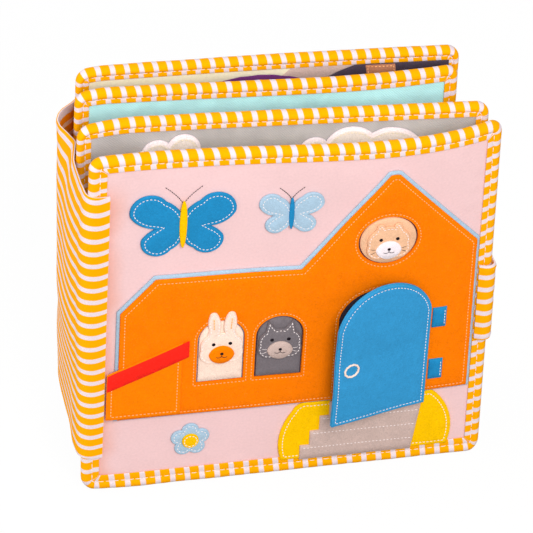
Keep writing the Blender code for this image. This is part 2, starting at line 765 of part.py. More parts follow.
def make_ring(name, parent, middle):
    """A thread ring that faces -Y."""
    around, across = 16, 6
    bm = bmesh.new()
    rings = []
    for i in range(around):
        a = 2 * math.pi * i / around
        ring = []
        for k in range(across):
            b = 2 * math.pi * k / across
            reach = RING_RADIUS + RING_CORD * math.cos(b)
            offset = Vector((reach * math.cos(a), RING_CORD * math.sin(b), reach * math.sin(a)))
            ring.append(bm.verts.new(middle + offset))
        rings.append(ring)
    for ring, after in zip(rings, rings[1:] + rings[:1]):
        for k in range(across):
            n = (k + 1) % across
            bm.faces.new((ring[k], ring[n], after[n], after[k]))
    add_object(name, bm, parent, "cream_felt")


def make_puppets(leaf):
    """Three finger puppets, each a body inside its window, a head before it and a muzzle on the head."""
    bodies = window_outlines(leaf, -PUPPET_CLEAR)
    spans = window_spans(leaf)
    left, _, right, _ = field_box(leaf, WINDOW_SHARES[0], BACKING_MARGIN)
    width = PUPPET_HEAD_SHARES[0] * (right - left)
    height = PUPPET_HEAD_SHARES[1] * (right - left)
    for (name, ear_shares, finish, muzzle_finish), body, place, chin_share in zip(
        PUPPETS, bodies, spans, CHIN_SHARES
    ):
        slide = pivot(name + "_slide", leaf.pivot)
        across, foot, span = place
        middle = (across, foot + chin_share * span + height / 2)
        head = motif_outline(BROW_SHARES + ear_shares + CHEEK_SHARES, width, height, middle)
        snout = (across, middle[1] + MUZZLE_RISE_SHARE * height / 2)
        snout_width, snout_height = MUZZLE_SHARES[0] * width, MUZZLE_SHARES[1] * height
        muzzle = motif_outline(MUZZLE_OUTLINE_SHARES, snout_width, snout_height, snout)
        muzzle_low = TRIM_LOW + THICK_FELT + SEAT
        felt(name + "_body", leaf, body, WALL_LOW, FELT, finish, parent=slide)
        felt(name + "_head", leaf, head, TRIM_LOW, THICK_FELT, finish, parent=slide)
        felt(name + "_muzzle", leaf, muzzle, muzzle_low, MUZZLE_FELT, muzzle_finish, parent=slide)


def front_motifs(leaf):
    """The butterflies above the cottage and the flower beside its porch."""
    big = field_motif(leaf, BUTTERFLY_OUTLINE_SHARES, BIG_BUTTERFLY_SHARES)
    small = field_motif(leaf, BUTTERFLY_OUTLINE_SHARES, SMALL_BUTTERFLY_SHARES)
    felt("big_butterfly", leaf, big, BACKING_LOW, THICK_FELT, "blue_felt")
    felt("small_butterfly", leaf, small, BACKING_LOW, THICK_FELT, "pale_blue_felt")
    turns = [math.pi / 2 - 2 * math.pi * (i + 0.5) / FLOWER_PETALS for i in range(FLOWER_PETALS)]
    reach = PETAL_REACH_SHARE
    corners = [(reach * math.cos(a), reach * math.sin(a), PETAL_BULGE_SHARE) for a in turns]
    petals = field_motif(leaf, corners, FLOWER_SHARES)
    width_share, _, across, up = FLOWER_SHARES
    left, _, right, _ = field_box(leaf, (0, 0, width_share, 1))
    heart = circle_outline(field_point(leaf, across, up), FLOWER_HEART_SHARE * (right - left))
    felt("flower_petals", leaf, petals, BACKING_LOW, FELT, "pale_blue_felt")
    felt("flower_heart", leaf, heart, LINING_LOW, FELT, "yellow_felt")


def inner_motifs(second, back):
    """The white bushes on the second leaf and the hills inside the back cover."""
    left_bush = field_motif(second, LEFT_BUSH_OUTLINE_SHARES, LEFT_BUSH_SHARES)
    right_bush = field_motif(second, RIGHT_BUSH_OUTLINE_SHARES, RIGHT_BUSH_SHARES)
    felt("left_bush", second, left_bush, BACKING_LOW, THICK_FELT, "white_felt")
    felt("right_bush", second, right_bush, BACKING_LOW, THICK_FELT, "white_felt")
    hills = [
        ("sand_hill", SAND_HILL_SHARES, "taupe_felt"),
        ("purple_hill", PURPLE_HILL_SHARES, "purple_felt"),
        ("charcoal_hill", CHARCOAL_HILL_SHARES, "charcoal_felt"),
    ]
    for layer, (name, shares, finish) in enumerate(hills):
        low = BACKING_LOW + layer * (THIN_FELT + SEAT)
        felt(name, back, field_motif(back, HILL_OUTLINE_SHARES, shares), low, THIN_FELT, finish)


def upright(bm):
    """Stands a plate drawn in (u, v, w) up along +Y, with w to +X."""
    for vert in bm.verts:
        u, v, w = vert.co
        vert.co = (w, u, v)


def strap_patch(near):
    """The outline of a hook or loop patch that starts at the distance near."""
    middle = STRAP_MIDDLE_SHARE * LEAF_HEIGHT
    half = STRAP_WIDTH / 2 - PATCH_MARGIN
    return rounded_outline(near, middle - half, near + PATCH_LENGTH, middle + half, PATCH_CORNER)


def make_strap(front, back):
    """The closing strap: a base wrapped round the front cover's fore-edge, and a band that swings out."""
    clear = SEAT + STRAP_CLOTH / 2
    edge = front.width + clear
    face = BINDING_HALF + clear
    axis_y = BINDING_HALF + SEAT
    bottom = STRAP_MIDDLE_SHARE * LEAF_HEIGHT - STRAP_WIDTH / 2
    top = bottom + STRAP_WIDTH
    turn = rounded_turn(edge, -face, STRAP_BEND)
    seam = front.width - STRAP_LAP_SHARE * BINDING_WIDTH
    base = [(edge, axis_y - SEAT / 2)] + turn + [(seam, -face)]
    strip("strap_base", front, lambda z: base, [bottom, top], STRAP_CLOTH, "stripe")

    # The axis is on the strap's outer face, so that the band opens away from the base
    swing = pivot("strap_hinge", front.pivot, (edge + STRAP_CLOTH / 2, axis_y, 0))
    corner, bulge = STRAP_END_CORNER, quarter_bulge()
    band = curved_outline(
        [
            (SEAT / 2, bottom, 0.0),
            (SEAT / 2, top, 0.0),
            (STRAP_LENGTH - corner, top, bulge),
            (STRAP_LENGTH, top - corner, 0.0),
            (STRAP_LENGTH, bottom + corner, bulge),
            (STRAP_LENGTH - corner, bottom, 0.0),
        ]
    )
    bm = bmesh.new()
    plate_into(bm, band, (), -STRAP_CLOTH, 0)
    upright(bm)
    add_object("strap_band", bm, swing, "stripe")

    inside = -(STRAP_CLOTH + SEAT)
    hooks = strap_patch(STRAP_LENGTH - PATCH_MARGIN - PATCH_LENGTH)
    bm = bmesh.new()
    plate_into(bm, hooks, (), inside - PATCH_THICKNESS, inside)
    upright(bm)
    add_object("strap_hook_patch", bm, swing, "hook_tape")
    loops = strap_patch(back.width - BINDING_WIDTH - PATCH_MARGIN - PATCH_LENGTH)
    loops_low = -(PANEL_HALF + SEAT + PATCH_THICKNESS)
    felt("back_loop_patch", back, loops, loops_low, PATCH_THICKNESS, "hook_tape")


def centre_footprint(frame):
    """Moves the book so that the middle of its footprint is the origin."""
    bpy.context.view_layer.update()
    meshes = [obj for obj in bpy.context.scene.objects if obj.type == "MESH"]
    points = [obj.matrix_world @ vert.co for obj in meshes for vert in obj.data.vertices]
    middle = [(min(p[i] for p in points) + max(p[i] for p in points)) / 2 for i in range(2)]
    frame.location = (-middle[0], -middle[1], 0)
    bpy.context.view_layer.update()


def build():
    clear_scene()
    frame = pivot("book_frame", None)
    second_y = FRONT_TO_SECOND
    third_y = second_y + SECOND_TO_THIRD
    back_y = third_y + THIRD_TO_BACK
    front = Leaf("front_cover", FRONT_WIDTH, (0, 0), FRONT_TURN, FRONT_BOW)
    second_hinge, third_hinge = (-SECOND_OUTSET, second_y), (THIRD_INSET, third_y)
    second = Leaf("second_leaf", FRONT_WIDTH - SECOND_NARROWER, second_hinge, SECOND_TURN, 0)
    third = Leaf("third_leaf", FRONT_WIDTH - THIRD_NARROWER, third_hinge, THIRD_TURN, 0)
    back = Leaf("back_cover", FRONT_WIDTH - BACK_NARROWER, (BACK_INSET, back_y), BACK_TURN, 0)
    for leaf in (front, second, third, back):
        leaf.pivot = pivot(leaf.name + "_hinge", frame, (*leaf.hinge, 0), leaf.turn)

    padded_leaf(front, "pink_cotton", "sand_cotton", True)
    padded_leaf(second, "grey_cotton", "pink_cotton", False)
    padded_leaf(third, "mint_cotton", "grey_cotton", False)
    padded_leaf(back, "sand_cotton", "mint_cotton", True)
    make_spine(front, second, third, back)
    cottage(front)
    make_door(front)
    front_motifs(front)
    make_puppets(front)
    inner_motifs(second, back)
    make_strap(front, back)
    centre_footprint(frame)


build()
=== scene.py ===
"""Looks of the cloth book: cotton, felt, stitching, tape, spine cloth, light and camera.

A leaf is drawn in its own frame, as in the part's source: u runs from its hinge to its fore-edge, v runs up
from its foot, and w runs out of its front, with 0 at mid thickness. Metres, +Z up.
"""

import json
import math
import random

import bmesh
import bpy
import numpy as np
from mathutils import Matrix, Vector
from mathutils.geometry import delaunay_2d_cdt


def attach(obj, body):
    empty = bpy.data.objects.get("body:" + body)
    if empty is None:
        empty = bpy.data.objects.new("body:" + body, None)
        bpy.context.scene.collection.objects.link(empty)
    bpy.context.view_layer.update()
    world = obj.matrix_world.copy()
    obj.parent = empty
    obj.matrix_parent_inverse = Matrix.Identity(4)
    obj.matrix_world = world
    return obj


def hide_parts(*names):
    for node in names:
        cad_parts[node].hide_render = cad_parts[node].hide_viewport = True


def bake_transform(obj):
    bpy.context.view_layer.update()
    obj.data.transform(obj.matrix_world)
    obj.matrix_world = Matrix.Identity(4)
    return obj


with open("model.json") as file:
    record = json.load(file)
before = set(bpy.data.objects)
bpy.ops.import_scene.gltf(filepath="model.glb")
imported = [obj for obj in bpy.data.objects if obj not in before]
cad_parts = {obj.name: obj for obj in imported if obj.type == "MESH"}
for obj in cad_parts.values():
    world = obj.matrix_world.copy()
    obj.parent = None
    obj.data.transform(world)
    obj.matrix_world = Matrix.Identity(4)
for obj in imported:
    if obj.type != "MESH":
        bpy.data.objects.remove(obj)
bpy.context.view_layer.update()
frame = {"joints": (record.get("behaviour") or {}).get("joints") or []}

MM = 0.001

# Camera, as the pixel where the middle of the front cover shows and the scale there
IMAGE_SIDE = 533
COVER_MIDDLE_PIXEL = (290.29, 306.69)
COVER_MIDDLE_FROM_HINGE = Vector((99.2 * MM, 1.2 * MM, 100 * MM))
PIXELS_PER_METRE = 2067.0
EYE_DISTANCE = 3.0
EYE_AZIMUTH = math.radians(-13.87)
EYE_ELEVATION = math.radians(36.94)
EYE_ROLL = math.radians(3.06)
SENSOR_MM = 36.0

# Leaves
LEAF_HEIGHT = 200 * MM
BACK_HINGE_FROM_THIRD = (4.8 * MM, 17.8 * MM)
BOW_POWER = 2.25
SAG_DEPTH = 45 * MM
LIFT_POWER = 1.5
SWELL_REACH = 30 * MM
HEEL_HEIGHT = 34 * MM
HEEL_REACH = 26 * MM
CLOTH = 0.6 * MM
FILM = 0.3 * MM
SEAT = 0.3 * MM
PANEL_HALF = 2.15 * MM
PANEL_INSET = 3.0 * MM
PANEL_STEP = 2.5 * MM
PILLOW = 0.35 * MM
PILLOW_REACH = 7 * MM
PUCKER = 0.30 * MM
PUCKER_REACH = 7 * MM
WAVE = 0.30 * MM

# Binding tape
TAPE_WIDTH = 7.8 * MM
TAPE_HALF = 3.05 * MM
TAPE_CORNER = 6.0 * MM
TAPE_STEP = 1.6 * MM
TAPE_SEAM_INSET = 4.5 * MM
TAPE_STITCH_PERIOD = 3.5 * MM
TAPE_STITCH_LENGTH = 2.7 * MM
TAPE_THREAD_RADIUS = 0.16 * MM
TAPE_PROFILE_MM = [
    (7.65, 2.45), (7.78, 2.72), (7.6, 2.92), (7.0, 2.98), (6.1, 2.97), (5.3, 2.92), (4.85, 2.80),
    (4.5, 2.66), (4.15, 2.84), (3.6, 3.16), (2.9, 3.38), (2.1, 3.34), (1.3, 3.02), (0.65, 2.45),
    (0.2, 1.65), (-0.1, 0.8), (-0.2, 0.0),
]
TAPE_INNER_MM = [(0.9, -2.3), (0.9, 2.3)]
TAPE_FOOT_EXTRA = 2.0 * MM
STRIPE_PERIOD = 7.2 * MM
YELLOW_SHARE = 0.645

# Spine cloth. At each height: how far the outer face stands to the left of the front hinge line, at places
# that lie this far behind it
SPINE_FOOT = 22.5 * MM
SPINE_HEAD = 179.5 * MM
SPINE_CLOTH = 1.2 * MM
SPINE_CLEAR = 0.9 * MM
SPINE_LAP = 7.5 * MM
SPINE_FACE = 4.9 * MM
SPINE_CORNER_START = 4.0 * MM
SPINE_CORNER_POWER = 0.7
SPINE_ROW = 1.8 * MM
SPINE_SMOOTHING = 2.0 * MM
SPINE_STATIONS_MM = (5, 9.5, 14, 20.5, 28, 35, 43, 50.5, 56.5, 62, 67.3, 71.2)
SPINE_OUT_MM = {
    22.5: (4.5, 4.8, 4.6, 4.0, 3.4, 3.3, 3.2, 3.1, 2.8, 2.3, 1.5, 0.4),
    35: (4.7, 5.0, 4.7, 4.2, 3.9, 3.7, 3.6, 3.5, 3.2, 2.7, 2.0, 0.7),
    58: (4.6, 5.1, 5.2, 5.2, 5.2, 5.2, 5.0, 4.7, 4.1, 3.3, 2.3, 0.8),
    94: (5.8, 6.9, 7.5, 7.9, 7.9, 7.6, 7.2, 6.5, 5.3, 3.9, 2.5, 0.9),
    145: (6.1, 7.1, 7.6, 7.8, 7.5, 7.3, 7.4, 7.5, 6.6, 5.2, 3.3, 1.1),
    160: (5.7, 6.6, 7.1, 7.3, 7.0, 6.5, 6.5, 7.2, 6.8, 5.5, 3.7, 1.4),
    170: (5.0, 5.8, 6.1, 6.3, 6.0, 4.9, 4.4, 6.0, 6.8, 6.2, 4.3, 1.8),
    179.5: (4.5, 5.0, 5.1, 5.2, 5.0, 3.4, 1.5, 4.0, 6.4, 6.9, 5.1, 2.3),
}
SPINE_LANDING_MM = (-2.8, 75.2)
SPINE_COLUMNS = (26, 20, 34)
SPINE_HEAD_YELLOW = 173.2 * MM
SPINE_STRIPES = 21
SPINE_STRIPED_HEIGHT = 147.7 * MM
SPINE_STRIPE_STRETCH = 1.64
SPINE_CURL = 1.5 * MM
SPINE_HEM = 4.0 * MM

# Felt
FELT = 1.0 * MM
THICK_FELT = 1.2 * MM
THIN_FELT = 0.4 * MM
BACKING_LOW = PANEL_HALF + SEAT
LINING_LOW = BACKING_LOW + FELT + SEAT
WALL_LOW = LINING_LOW + THIN_FELT + SEAT
TRIM_LOW = WALL_LOW + FELT + SEAT
UPPER_TRIM_LOW = TRIM_LOW + FELT + SEAT
ARC_STEP = math.radians(7)
EDGE_STEP = 2.2 * MM
EDGE_ROUND = 0.28 * MM
GRID_STEP = 4.0 * MM
GROOVE = 0.22 * MM
GROOVE_HALF = 0.75 * MM
PUFF = 0.15 * MM
DROP_REACH = 5.0 * MM
WALL_DROP = 0.62 * MM
TRIM_DROP = 0.25 * MM

# Stitching
STITCH_INSET = 2.1 * MM
STITCH_PERIOD = 1.85 * MM
STITCH_LENGTH = 1.25 * MM
THREAD_RADIUS = 0.19 * MM

# Strap
STRAP_FOOT = 71 * MM
STRAP_HEAD = 116 * MM
STRAP_HALF = 0.6 * MM
STRAP_LENGTH = 60 * MM
STRAP_LAP = 0.93 * TAPE_WIDTH
STRAP_BEND = 2.5 * MM
STRAP_BULGE = 1.9 * MM
STRAP_RAISE = 1.4 * MM
STRAP_STITCH_INSET = 2.2 * MM

# Picture on the front cover: places are shares of the field that the tape leaves free
BACKING_MARGIN = 1.4 * MM
LINING_MARGIN = 4.0 * MM
WINDOW_SHARES = [(0.240, 0.301, 0.368, 0.506), (0.400, 0.301, 0.528, 0.506)]
ATTIC_WINDOW_SHARES = (0.744, 0.738)
ATTIC_RADIUS_SHARE = 0.081
DOOR_SHARES = (0.593, 0.168, 0.883, 0.616)
DOOR_ARCH_SHARE = 0.42
DOOR_AJAR = math.radians(13)
DOOR_THICKNESS = 2.0 * MM
DOOR_CLEAR = 0.5 * MM
DOOR_CLEAR_AT_HEAD = 1.1 * MM
DOOR_STITCH_INSET = 1.9 * MM
HINGE_CLEAR = 1.4 * MM
PORCH_SHARES = (0.49, 0.95)
PORCH_TREAD_SHARE = 0.055
STEP_COUNT = 4

WALL_OUTLINE_SHARES = [
    (0.03, 0.195, 0.0), (0.03, 0.550, 0.0), (0.12, 0.655, 0.0), (0.515, 0.655, 0.0),
    (0.738, 0.955, 0.08), (0.765, 0.955, 0.0), (1.0, 0.690, 0.0), (1.0, 0.195, 0.0),
]
ANNEX_OUTLINE_SHARES = [(0.0, 0.205, 0.0), (0.0, 0.356, 0.0), (0.198, 0.445, 0.0), (0.198, 0.205, 0.0)]
BUTTERFLY_OUTLINE_SHARES = [
    (0.0, 0.20, 0.10), (0.30, 0.70, 0.42), (0.92, 0.30, 0.14), (0.46, -0.12, 0.08), (0.72, -0.45, 0.42),
    (0.20, -0.80, 0.12), (0.0, -0.42, 0.12), (-0.20, -0.80, 0.42), (-0.72, -0.45, 0.08),
    (-0.46, -0.12, 0.14), (-0.92, 0.30, 0.42), (-0.30, 0.70, 0.10),
]
# Felts on the inner leaves, in millimetres on their leaf
LEFT_BUSH_MM = [
    (15.0, 141.0, 0.22), (23.5, 170.0, 0.16), (30.0, 183.0, 0.27), (42.8, 186.6, 0.42), (58.2, 182.4, 0.24),
    (66.0, 168.0, 0.22), (72.0, 141.0, 0.0),
]
RIGHT_BUSH_MM = [
    (92.0, 138.0, 0.22), (97.0, 168.0, 0.20), (107.0, 182.0, 0.26), (119.0, 183.6, 0.26), (141.0, 187.0, 0.19),
    (163.0, 184.0, 0.20), (172.0, 168.0, 0.20), (174.0, 138.0, 0.0),
]
SAND_HILL_MM = [
    (62.0, 132.0, 0.06), (96.0, 186.0, 0.02), (105.5, 194.8, 0.0), (150.0, 194.8, 0.0), (154.0, 132.0, 0.0),
]
PURPLE_HILL_MM = [(58.0, 146.0, 0.12), (71.0, 189.4, 0.075), (112.0, 187.6, 0.12), (127.0, 146.0, 0.0)]
CHARCOAL_HILL_MM = [
    (99.0, 144.0, 0.04), (119.0, 187.0, 0.03), (135.5, 194.8, 0.0), (181.6, 194.8, 0.0), (181.6, 144.0, 0.0),
]
BROWN_PATCH_MM = [(145.0, 165.0, 0.0), (140.5, 194.7, 0.0), (155.0, 194.7, 0.0), (159.0, 165.0, 0.0)]
MUZZLE_OUTLINE_SHARES = [(-1.0, 0.0, 0.42), (1.0, 0.0, 0.42)]
CHEEK_SHARES = [(0.72, 0.68, 0.16), (1.0, -0.16, 0.30), (0.4, -1.0, 0.05), (-0.4, -1.0, 0.30)]
BROW_SHARES = [(-1.0, -0.16, 0.16), (-0.72, 0.68, 0.0)]
RABBIT_EAR_SHARES = [
    (-0.62, 1.07, 0.08), (-0.62, 2.02, 0.35), (-0.26, 2.10, 0.10), (-0.12, 0.87, 0.0), (0.12, 0.87, 0.10),
    (0.26, 2.10, 0.35), (0.62, 2.02, 0.08), (0.62, 1.07, 0.0),
]
CAT_EAR_SHARES = [(-0.60, 1.42, 0.0), (-0.20, 0.84, 0.06), (0.20, 0.84, 0.0), (0.60, 1.42, 0.0)]
MOUSE_EAR_SHARES = [(-0.60, 0.94, 0.55), (-0.22, 0.94, 0.08), (0.22, 0.94, 0.55), (0.60, 0.94, 0.0)]
PUPPETS = [
    ("rabbit", RABBIT_EAR_SHARES, "cream_felt", "light_orange_felt", 0.33),
    ("cat", CAT_EAR_SHARES, "grey_felt", "taupe_felt", 0.33),
    ("mouse", MOUSE_EAR_SHARES, "tan_felt", "white_felt", 0.16),
]
PUPPET_HEAD_SHARES = (0.89, 0.83)
PUPPET_CLEAR = 0.6 * MM

# Colours as they show on a screen, 0 to 255
COLOURS = {
    "yellow_stripe": (255, 173, 0),
    "white_stripe": (234, 217, 223),
    # Painted light: the spine cloth's inner side in deeper orange and peach, standing in for light that shines
    # through the cloth and bounces inside the spine
    "inside_glow_orange": (255, 140, 0),
    "inside_glow_peach": (255, 205, 170),
    "pink_cotton": (242, 204, 204),
    # Painted reflection: pink warmed by light thrown back from the yellow spine, used on the pink beside it
    "spine_bounce_pink": (238, 176, 160),
    "grey_cotton": (191, 188, 188),
    "mint_cotton": (191, 247, 248),
    "sand_cotton": (250, 244, 213),
    "wadding": (240, 240, 236),
    "crinkle_film": (214, 218, 224),
    "orange_felt": (255, 125, 0),
    "light_orange_felt": (255, 130, 0),
    "red_felt": (252, 40, 28),
    "blue_felt": (34, 137, 191),
    "door_felt": (54, 150, 204),
    "pale_blue_felt": (170, 198, 218),
    "yellow_felt": (255, 198, 0),
    "taupe_felt": (203, 178, 169),
    "charcoal_felt": (72, 62, 76),
    "purple_felt": (112, 54, 118),
    "brown_felt": (188, 128, 97),
    "cream_felt": (252, 224, 206),
    "ivory_felt": (236, 226, 220),
    "white_felt": (247, 234, 238),
    "grey_felt": (120, 112, 116),
    "tan_felt": (240, 190, 152),
    "hook_tape": (232, 230, 226),
    "white_thread": (250, 238, 236),
    "cream_thread": (244, 232, 200),
    "peach_thread": (255, 190, 130),
    "dark_thread": (46, 36, 44),
    "bead": (30, 24, 30),
}


# Finishes of one colour with a fine grain, and their roughness
PLAIN_FINISHES = {
    "wadding": 0.8, "crinkle_film": 0.35, "hook_tape": 0.8, "white_thread": 0.7, "peach_thread": 0.7,
    "cream_thread": 0.7, "dark_thread": 0.7, "bead": 0.45,
}
PINK_SHIFT = 407 * MM


def linear(rgb):
    """A screen colour as the shader's linear one."""
    shares = [c / 255 for c in rgb]
    return (*[s / 12.92 if s <= 0.04045 else ((s + 0.055) / 1.055) ** 2.4 for s in shares], 1.0)


def waves(u, v, size, seed, count=5):
    """A smooth field of about -1 to 1, with bumps of about this size."""
    draw = random.Random(seed)
    total = 0.0
    for _ in range(count):
        angle, phase = draw.uniform(0, math.tau), draw.uniform(0, math.tau)
        length = size * draw.uniform(0.75, 1.4)
        total = total + np.sin((u * math.cos(angle) + v * math.sin(angle)) * math.tau / length + phase)
    return total / math.sqrt(count) * 0.8


def path_lengths(line):
    """How far along a line each of its points lies."""
    return np.concatenate([[0], np.cumsum(np.linalg.norm(np.diff(line, axis=0), axis=1))])


def outward(line):
    """At each point of a plan line, the direction square to it on its right."""
    way = np.gradient(line, axis=0)
    way /= np.linalg.norm(way, axis=1)[:, None]
    return np.column_stack([way[:, 1], -way[:, 0]])


def joint_plan(name):
    """Where a joint's axis stands on the book's plan."""
    return tuple(next(j["pos_m"][:2] for j in frame["joints"] if j["name"] == name))


class Leaf:
    """A leaf's body, size and place in the book, its soft shape and its tape.

    A bow is its depth at the head and the power that moves its crown towards the fore-edge. Beside the spine
    the leaf's head sags, its edge swells out a little and its foot is drawn up.
    """

    def __init__(self, name, body, width, hinge, turn, bows, sag, swell, heel, tape, period, shift, seed):
        self.name, self.body, self.width, self.bows, self.seed = name, body, width, bows, seed
        self.sag, self.sag_reach = sag
        self.swell, self.heel = swell, heel
        self.tape, self.period, self.shift = tape, period, shift
        self.hinge = Vector(hinge)
        self.turn = math.radians(turn)

    def softness(self, u, v, seed):
        inward = np.minimum(np.minimum(u, self.width - u), np.minimum(v, LEAF_HEIGHT - v)) - self.tape
        inward = np.maximum(inward, 0.0)
        pillow = PILLOW * (1 - np.exp(-inward / PILLOW_REACH))
        puckers = PUCKER * waves(u, v, 9 * MM, seed) * np.exp(-inward / PUCKER_REACH)
        swell = WAVE * waves(u, v, 55 * MM, seed + 1) * (1 - np.exp(-inward / (2 * PILLOW_REACH)))
        return pillow + puckers * (1 - np.exp(-inward / (0.8 * MM))) + swell

    def in_pivot(self, points, soft=True):
        u, v, w = np.asarray(points, float).reshape(-1, 3).T
        share = np.clip(u / self.width, 0, 1)
        crown = sum(depth * np.sin(np.pi * share**power) for depth, power in self.bows)
        lift = crown * np.clip(v / LEAF_HEIGHT, 0, 1.1) ** LIFT_POWER
        near = np.clip(1 - u / self.sag_reach, 0, 1) ** 1.5
        sag = self.sag * near * np.clip((v - LEAF_HEIGHT) / SAG_DEPTH + 1, 0, 1.1) ** 1.5
        low = np.clip(1 - v / HEEL_HEIGHT, 0, 1.1) ** 1.5 * np.clip(1 - u / HEEL_REACH, 0, 1.1) ** 1.5
        sag = sag - self.heel * low
        if soft:
            depth = np.clip(np.abs(w) / PANEL_HALF, 0, 1)
            front = self.softness(u, v, self.seed)
            back = self.softness(u, v, self.seed + 50)
            lift = lift + np.where(w > 0, front, -back) * depth
        out = self.swell * np.clip(1 - u / SWELL_REACH, 0, 1.1) ** 1.5 - 0.4 * self.heel * low
        return np.stack([u - out, -(w + lift), v - sag], axis=1)

    def place(self, points, soft=True):
        """World places of (u, v, w) points."""
        x, y, z = self.in_pivot(points, soft).T
        cos, sin = math.cos(self.turn), math.sin(self.turn)
        return np.stack([self.hinge.x + x * cos - y * sin, self.hinge.y + x * sin + y * cos, z], axis=1)

    def rigid(self, points):
        """World places of (u, v, w) points that follow the bow but not the padding's softness."""
        return self.place(points, soft=False)

    def plan(self, x, y):
        """A point in the frame of the leaf's pivot, on the book's plan."""
        cos, sin = math.cos(self.turn), math.sin(self.turn)
        return np.array([self.hinge.x + x * cos - y * sin, self.hinge.y + x * sin + y * cos])


THIRD_HINGE = joint_plan("third_leaf_turn")
BACK_HINGE = tuple(a + b for a, b in zip(THIRD_HINGE, BACK_HINGE_FROM_THIRD))
FRONT = Leaf(
    "front_cover", "front_cover", 198.5 * MM, joint_plan("front_cover_turn"), 0.66,
    bows=[(8.0 * MM, BOW_POWER), (2.0 * MM, 1.6)], sag=(0.8 * MM, 20 * MM), swell=2.2 * MM, heel=1.5 * MM,
    tape=7.7 * MM, period=7.4 * MM, shift=4.2 * MM, seed=11,
)
SECOND = Leaf(
    "second_leaf", "second_leaf", 197.4 * MM, joint_plan("second_leaf_turn"), -3.3,
    bows=[(-2.2 * MM, 0.45)], sag=(3.6 * MM, 24 * MM), swell=1.3 * MM, heel=6.0 * MM,
    tape=6.4 * MM, period=7.35 * MM, shift=0.0, seed=12,
)
THIRD = Leaf(
    "third_leaf", "third_leaf", 187.4 * MM, THIRD_HINGE, -1.8,
    bows=[(3.0 * MM, BOW_POWER), (1.2 * MM, 1.2)], sag=(2.4 * MM, 16 * MM), swell=-0.5 * MM, heel=3.0 * MM,
    tape=6.8 * MM, period=7.3 * MM, shift=0.0, seed=13,
)
BACK = Leaf(
    "back_cover", "back", 187.0 * MM, BACK_HINGE, -2.5,
    bows=[(-1.2 * MM, 1.0)], sag=(2.0 * MM, 14 * MM), swell=0.5 * MM, heel=2.0 * MM,
    tape=6.0 * MM, period=6.95 * MM, shift=0.0, seed=14,
)
LEAVES = (FRONT, SECOND, THIRD, BACK)


class Graph:
    """A material under construction, whose pattern lies in the mesh's own cloth coordinates, in millimetres."""

    def __init__(self, name, roughness, sheen=0.0, specular=0.04):
        self.material = bpy.data.materials.new(name)
        self.material.use_nodes = True
        self.tree = self.material.node_tree
        self.shader = self.tree.nodes["Principled BSDF"]
        self.shader.inputs["Roughness"].default_value = roughness
        self.shader.inputs["Specular IOR Level"].default_value = specular
        self.shader.inputs["Sheen Weight"].default_value = sheen
        self.shader.inputs["Sheen Roughness"].default_value = 0.5
        self.cloth = self.add("ShaderNodeAttribute", {"attribute_name": "cloth"}).outputs["Vector"]
        split = self.add("ShaderNodeSeparateXYZ", Vector=self.cloth)
        self.along, self.across = split.outputs["X"], split.outputs["Y"]
        self.side = split.outputs["Z"]

    def add(self, kind, settings=None, **inputs):
        node = self.tree.nodes.new(kind)
        for key, value in (settings or {}).items():
            setattr(node, key, value)
        for key, value in inputs.items():
            self.put(node.inputs[key.replace("_", " ")], value)
        return node

    def put(self, socket, value):
        if isinstance(value, bpy.types.NodeSocket):
            self.tree.links.new(value, socket)
        else:
            socket.default_value = value

    def math(self, operation, *values):
        node = self.add("ShaderNodeMath", {"operation": operation})
        for socket, value in zip(node.inputs, values):
            self.put(socket, value)
        return node.outputs[0]

    def noise(self, per_mm, detail=3.0, distortion=0.0):
        node = self.add(
            "ShaderNodeTexNoise", Vector=self.cloth, Scale=per_mm, Detail=detail, Distortion=distortion
        )
        return node.outputs["Fac"]

    def span(self, value, low, high, to_low, to_high, smooth=False):
        node = self.add("ShaderNodeMapRange", {"interpolation_type": "SMOOTHSTEP" if smooth else "LINEAR"})
        for socket, item in zip(node.inputs, (value, low, high, to_low, to_high)):
            self.put(socket, item)
        return node.outputs[0]

    def mix(self, share, a, b, blend="MIX"):
        node = self.add("ShaderNodeMix", {"data_type": "RGBA", "blend_type": blend})
        for socket, item in zip((node.inputs[0], node.inputs[6], node.inputs[7]), (share, a, b)):
            self.put(socket, item)
        return node.outputs[2]

    def shade(self, colour, factor):
        """A colour times a grey factor."""
        grey = self.add("ShaderNodeCombineColor", Red=factor, Green=factor, Blue=factor).outputs[0]
        return self.mix(1.0, colour, grey, "MULTIPLY")

    def weave(self, thread_mm):
        """A height of crossing threads, 0 to 1."""
        turn = math.tau / thread_mm
        a = self.math("SINE", self.math("MULTIPLY", self.along, turn))
        b = self.math("SINE", self.math("MULTIPLY", self.across, turn))
        return self.math("MULTIPLY_ADD", self.math("MULTIPLY", a, b), 0.5, 0.5)

    def finish(self, colour, height=None, strength=0.3, distance=0.0002):
        self.put(self.shader.inputs["Base Color"], colour)
        if height is not None:
            bump = self.add("ShaderNodeBump", Strength=strength, Distance=distance, Height=height)
            self.put(self.shader.inputs["Normal"], bump.outputs["Normal"])
        return self.material


def felt_material(name, colour):
    """Pressed wool: pale and dark fibres, a soft nap and a little pilling."""
    g = Graph(name, 0.95, sheen=0.01)
    fibres = g.noise(0.85, detail=6.0, distortion=1.8)
    patches = g.noise(0.14, detail=3.0)
    specks = g.noise(1.9, detail=3.0)
    tone = g.math("ADD", g.span(fibres, 0.25, 0.75, 0.86, 1.17), g.span(patches, 0.3, 0.7, -0.04, 0.04))
    base = g.shade(linear(colour), tone)
    pale = [1 - (1 - c) * 0.7 for c in linear(colour)[:3]] + [1.0]
    base = g.mix(g.span(specks, 0.60, 0.80, 0.0, 0.09), base, pale)
    height = g.math("ADD", fibres, g.math("MULTIPLY", specks, 0.5))
    return g.finish(base, height, strength=0.6, distance=0.0004)


